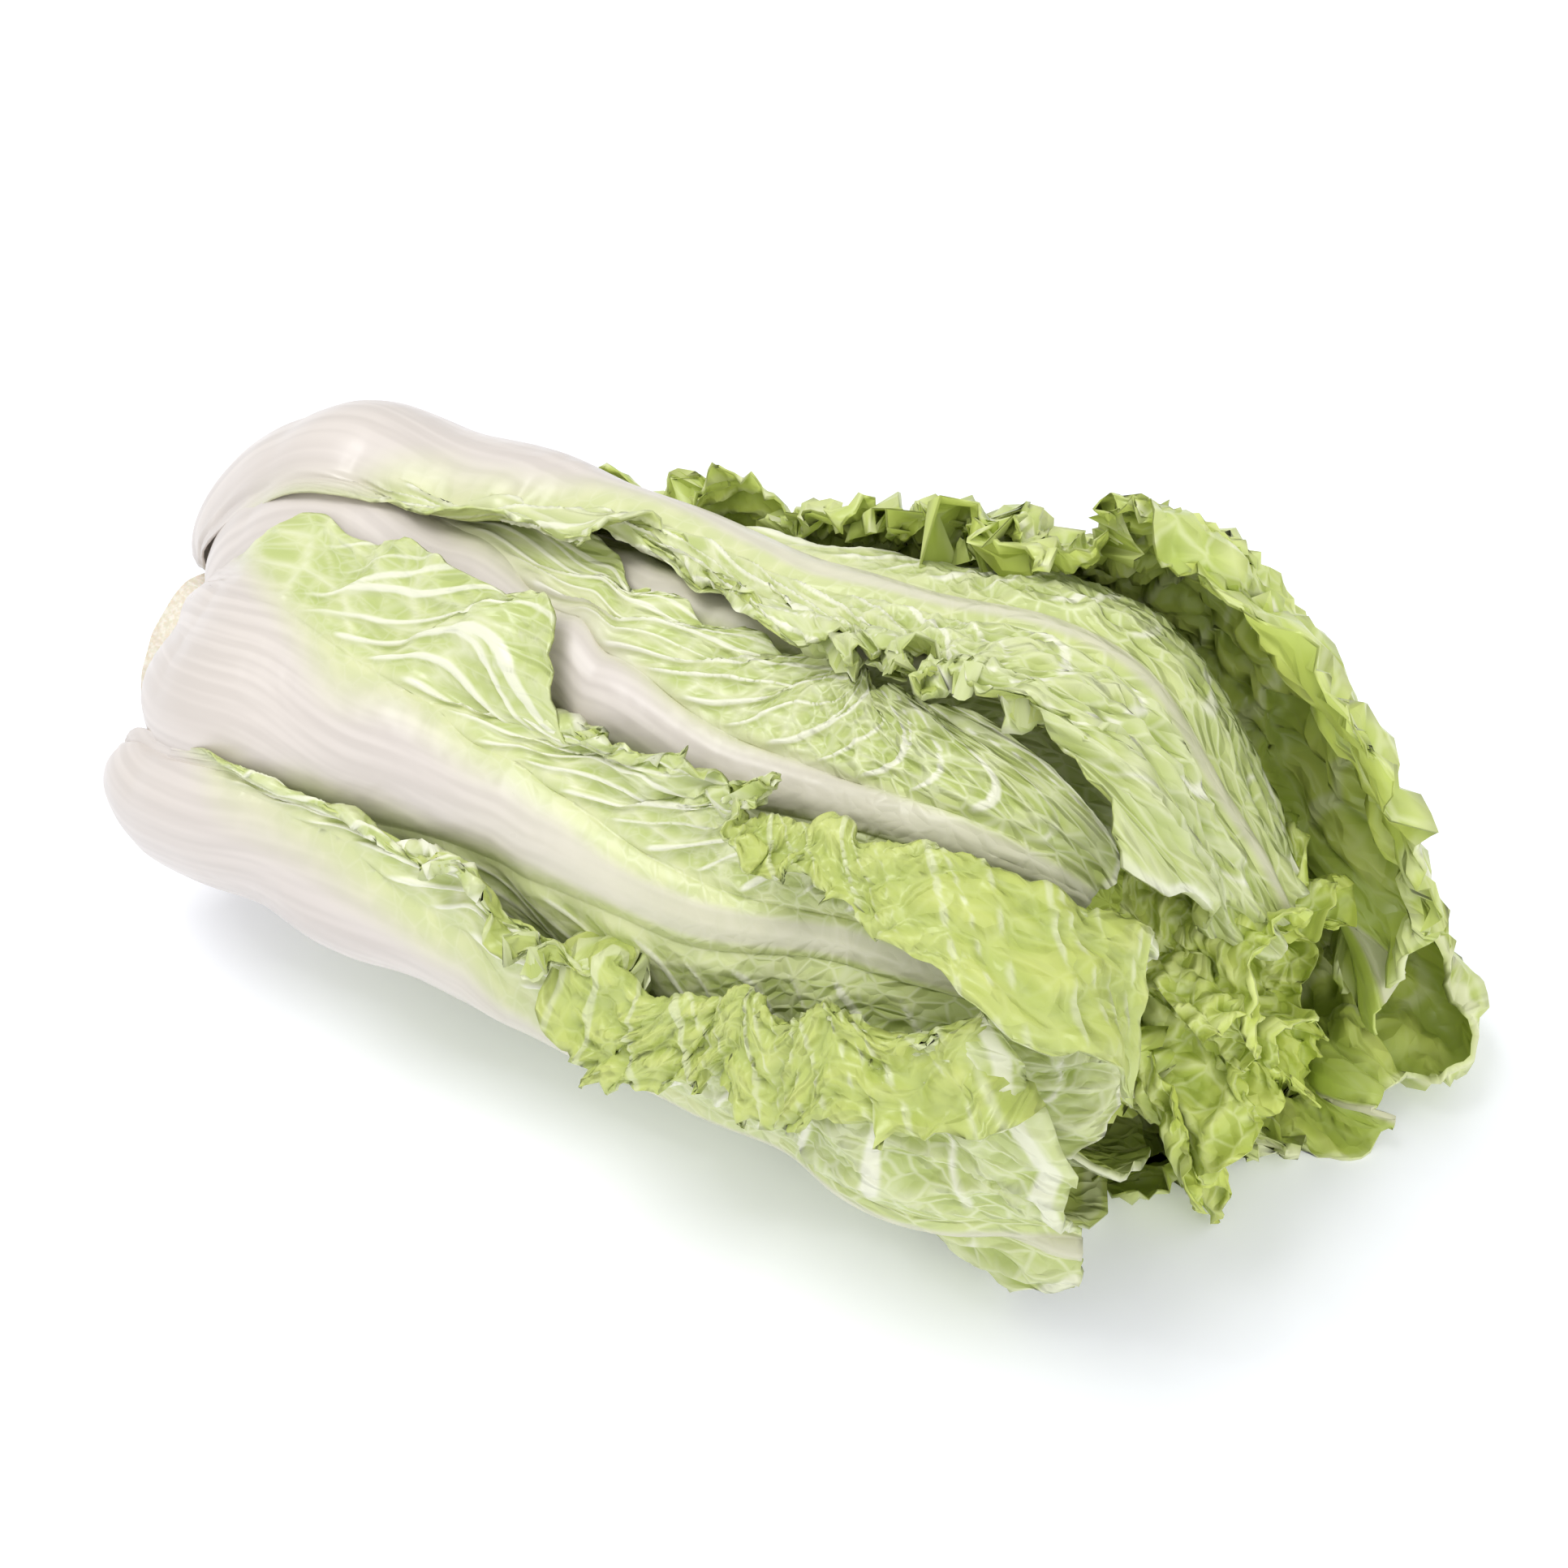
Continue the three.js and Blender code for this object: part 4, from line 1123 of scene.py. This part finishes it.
def leaf_finish(name, white, near, far, inner_near, inner_far, vein_colour, hollow_shade_colour):
    """Living cabbage leaf: smooth waxy skin, IOR about 1.45, over pale wet flesh."""
    material, tree, shader = new_finish(name)

    def read(layer, output="Fac"):
        return add(tree, "ShaderNodeAttribute", dict(attribute_name=layer)).outputs[output]

    flat = read("flat", "Vector")
    vein, blade, net, inside = (read(layer) for layer in ("vein", "blade", "net", "inside"))
    outward, white_flesh, margin, dome = (read(layer) for layer in ("outward", "white", "margin", "dome"))
    off_white = reverse(tree, white_flesh)

    # Green in cloudy patches about 25 mm wide, mottled every 4 mm, and stronger towards the margins.
    patches = noise(tree, flat, CLOUD_SCALE, 1.0)
    mottle = noise(tree, flat, MOTTLE_SCALE, 0.0)
    spread_out = math_of(tree, "MULTIPLY_ADD", patches, 0.7, -0.35)
    amount = math_of(tree, "ADD", outward, spread_out, clamp=True)
    outer_green = blend(tree, amount, paint(near), paint(far))
    inner_green = blend(tree, amount, paint(inner_near), paint(inner_far))
    green = blend(tree, inside, outer_green, inner_green)
    shade = blend(tree, ramp(tree, mottle, 0.35, 0.75), MOTTLE_DARK, MOTTLE_LIGHT)
    green = blend(tree, 1.0, green, shade, "MULTIPLY")

    # Painted shade in the hollows: seen from outside, the sunken cells are painted darker green than the net
    # round them, and seen from inside, where the cells bulge, the creases between them are painted darker.
    depth = blend(tree, inside, dome, reverse(tree, dome))
    depth = times(tree, times(tree, depth, off_white), 0.6)
    green = blend(tree, depth, green, paint(hollow_shade_colour))

    # The finest net of veins has cells of about 4 mm. It and the veins show less on the inner face.
    fine = add(tree, "ShaderNodeTexVoronoi", dict(feature="DISTANCE_TO_EDGE"), Vector=flat,
               Scale=FINE_NET_SCALE).outputs["Distance"]
    fine_line = reverse(tree, ramp(tree, fine, 0.0, 0.10))
    fine_dome = ramp(tree, fine, 0.0, 0.42)
    fine_white = times(tree, fine_line, plus(tree, times(tree, outward, 0.2), 0.15))
    net_white = math_of(tree, "MAXIMUM", times(tree, net, 0.35), fine_white)
    net_white = times(tree, times(tree, net_white, off_white), math_of(tree, "SUBTRACT", 1.2, inside))
    green = blend(tree, net_white, green, paint(vein_colour))
    vein_white = times(tree, ramp(tree, vein, 0.2, 0.6), reverse(tree, times(tree, inside, 0.6)))
    green = blend(tree, vein_white, green, paint(vein_colour))
    green = blend(tree, times(tree, margin, 0.25), green, paint(far))

    # The white flesh has fibres along it. Specks are few, and clearest towards the margins and the tip.
    streaks_at = add(tree, "ShaderNodeMapping", Vector=flat, Scale=(0.06, 1.0, 1.0)).outputs["Vector"]
    streaks = noise(tree, streaks_at, STREAK_SCALE, 1.0)
    rib_white = blend(tree, ramp(tree, streaks, 0.35, 0.7), paint(STREAK_SHADE), paint(white))
    colour = blend(tree, white_flesh, green, rib_white)
    specks = add(tree, "ShaderNodeTexVoronoi", Vector=flat, Scale=SPECK_SCALE)
    picked = add(tree, "ShaderNodeSeparateColor", Color=specks.outputs["Color"]).outputs[0]
    chosen = math_of(tree, "GREATER_THAN", picked, SPECK_SHARE)
    dot = math_of(tree, "LESS_THAN", specks.outputs["Distance"], SPECK_SIZE)
    speck = times(tree, times(tree, chosen, dot), outward)
    colour = blend(tree, times(tree, speck, 0.8), colour, paint(SPECK_COLOUR))
    tree.links.new(colour, shader.inputs["Base Color"])

    # The fine cells are hollows outside and blisters inside, deepest near the margins.
    blisters = blend(tree, inside, reverse(tree, fine_dome), fine_dome)
    heights = times(tree, times(tree, blisters, off_white), plus(tree, times(tree, outward, 1.6), 0.15))
    heights = plus(tree, heights, times(tree, mottle, 0.5))
    roughen(tree, shader, heights, 0.7, BUMP_METRES)
    tree.links.new(math_of(tree, "MULTIPLY_ADD", mottle, 0.16, 0.25), shader.inputs["Roughness"])
    dial(shader, IOR=1.45, Coat_Weight=0.08, Coat_Roughness=0.18)
    return material


# The last colour given to each finish is the painted shade for the hollows of the cells and the creases
# between blisters.
pale_leaf = leaf_finish("pale_outer_cabbage_leaf", "#DAD2CB", "#D4D9A6", "#C8D28C", "#CFD78E", "#C3CD70",
                        "#EAEBD2", "#AABB5E")
fresh_leaf = leaf_finish("fresh_green_cabbage_leaf", "#DCD8CA", "#D7DF98", "#C9D576", "#D5DF82", "#C8D568",
                         "#E9ECC4", "#A0B648")
bright_leaf = leaf_finish("bright_heart_leaf", "#DCDAC4", "#DBE48A", "#D4E072", "#DCE682", "#D3DF6A",
                          "#EAF0B6", "#AABF4E")
finishes = dict(pale=pale_leaf, fresh=fresh_leaf, bright=bright_leaf)
for one in LEAVES:
    wear(leaf_pieces[one["name"]], finishes[one["finish"]])
wear(heart_piece, bright_leaf)
print("leaf finishes:", ", ".join(sorted(finishes)))

# %% [markdown]
# The cut stem is raw flesh, whiter and duller than the skin, with fine fibres and a few tan stains
# where it has dried. A little light goes into it.

# %% The cut stem's finish
stem_flesh, tree, shader = new_finish("cut_stem_flesh")
where = add(tree, "ShaderNodeTexCoord").outputs["Object"]
fibres = noise(tree, where, 900.0, 4.0)
stains = noise(tree, where, 110.0, 3.0)
flesh = blend(tree, ramp(tree, fibres, 0.35, 0.7), paint("#E4DCC6"), paint("#F4EFE2"))
flesh = blend(tree, times(tree, ramp(tree, stains, 0.52, 0.75), 0.45), flesh, paint("#C9B48E"))
tree.links.new(flesh, shader.inputs["Base Color"])
roughen(tree, shader, fibres, 0.5, 0.0004)
dial(shader, Roughness=0.5, IOR=1.42, Subsurface_Weight=0.2, Subsurface_Scale=0.004)
wear(stem_piece, stem_flesh)
print("stem finish:", stem_flesh.name)

# %% [markdown]
# The studio is a large white floor in a white surround, with three lights. A broad soft one from above
# on the left gives the head its form, a weaker one from the right opens the shadows, and a small lamp
# puts fine highlights on the waxy skin.

# %% Floor and lights
FLOOR_METRES = 8
FLOOR_GLOW = 0.14
SURROUND_STRENGTH = 0.78
# Each light's name, place and size in metres, and power in watts.
LIGHTS = [
    ("key_light", (-0.5, -0.2, 1.5), 0.8, 9),
    ("right_fill", (1.3, -0.8, 0.9), 1.2, 6.5),
    ("small_lamp", (-0.7, -0.5, 1.3), 0.08, 0.9),
]
LIT_POINT = Vector((0, 0, 0.05))

deselect_all()
bpy.ops.mesh.primitive_plane_add(size=FLOOR_METRES)
floor = bpy.context.object
floor.name = "floor"
floor_paint, tree, shader = new_finish("white_studio_floor")
dial(shader, Base_Color=paint("#F3F5FB"), Roughness=0.9, Emission_Color=paint("#F6F8FF"),
     Emission_Strength=FLOOR_GLOW)
wear(floor, floor_paint)

scene = bpy.context.scene
scene.view_settings.view_transform = "Standard"
scene.world = bpy.data.worlds.new("studio")
scene.world.use_nodes = True
dial(scene.world.node_tree.nodes["Background"], Color=paint("#FFFFFF"), Strength=SURROUND_STRENGTH)


def put(name, data, position, direction):
    """Adds a light or a camera at a place, looking along a direction."""
    thing = bpy.data.objects.new(name, data)
    scene.collection.objects.link(thing)
    thing.location = position
    thing.rotation_mode = "QUATERNION"
    thing.rotation_quaternion = direction.to_track_quat("-Z", "Y")
    return thing


for name, position, size, power in LIGHTS:
    light = bpy.data.lights.new(name, "AREA")
    light.shape = "DISK"
    light.size = size
    light.energy = power
    put(name, light, position, LIT_POINT - Vector(position))
print(len(LIGHTS), "lights")

# %% [markdown]
# The camera looks down on the head at the photograph's angle. Its angles, distance and lens were fitted
# so that the outline falls where it does there.

# %% Camera
CAMERA_AZIMUTH = math.radians(25.2)
CAMERA_ELEVATION = math.radians(44.1)
CAMERA_DISTANCE = 0.546
CAMERA_TARGET = Vector((0.0, 0.0135, 0.0487))
LENS_MM = 56
SENSOR_MM = 36
NEAREST_METRES = 0.01

camera_data = bpy.data.cameras.new("camera")
camera_data.lens = LENS_MM
camera_data.sensor_width = SENSOR_MM
camera_data.clip_start = NEAREST_METRES
back = Vector((math.cos(CAMERA_ELEVATION) * math.sin(CAMERA_AZIMUTH),
               -math.cos(CAMERA_ELEVATION) * math.cos(CAMERA_AZIMUTH), math.sin(CAMERA_ELEVATION)))
scene.camera = put("camera", camera_data, CAMERA_TARGET + back * CAMERA_DISTANCE, -back)
print("camera at", [round(v, 3) for v in scene.camera.location])
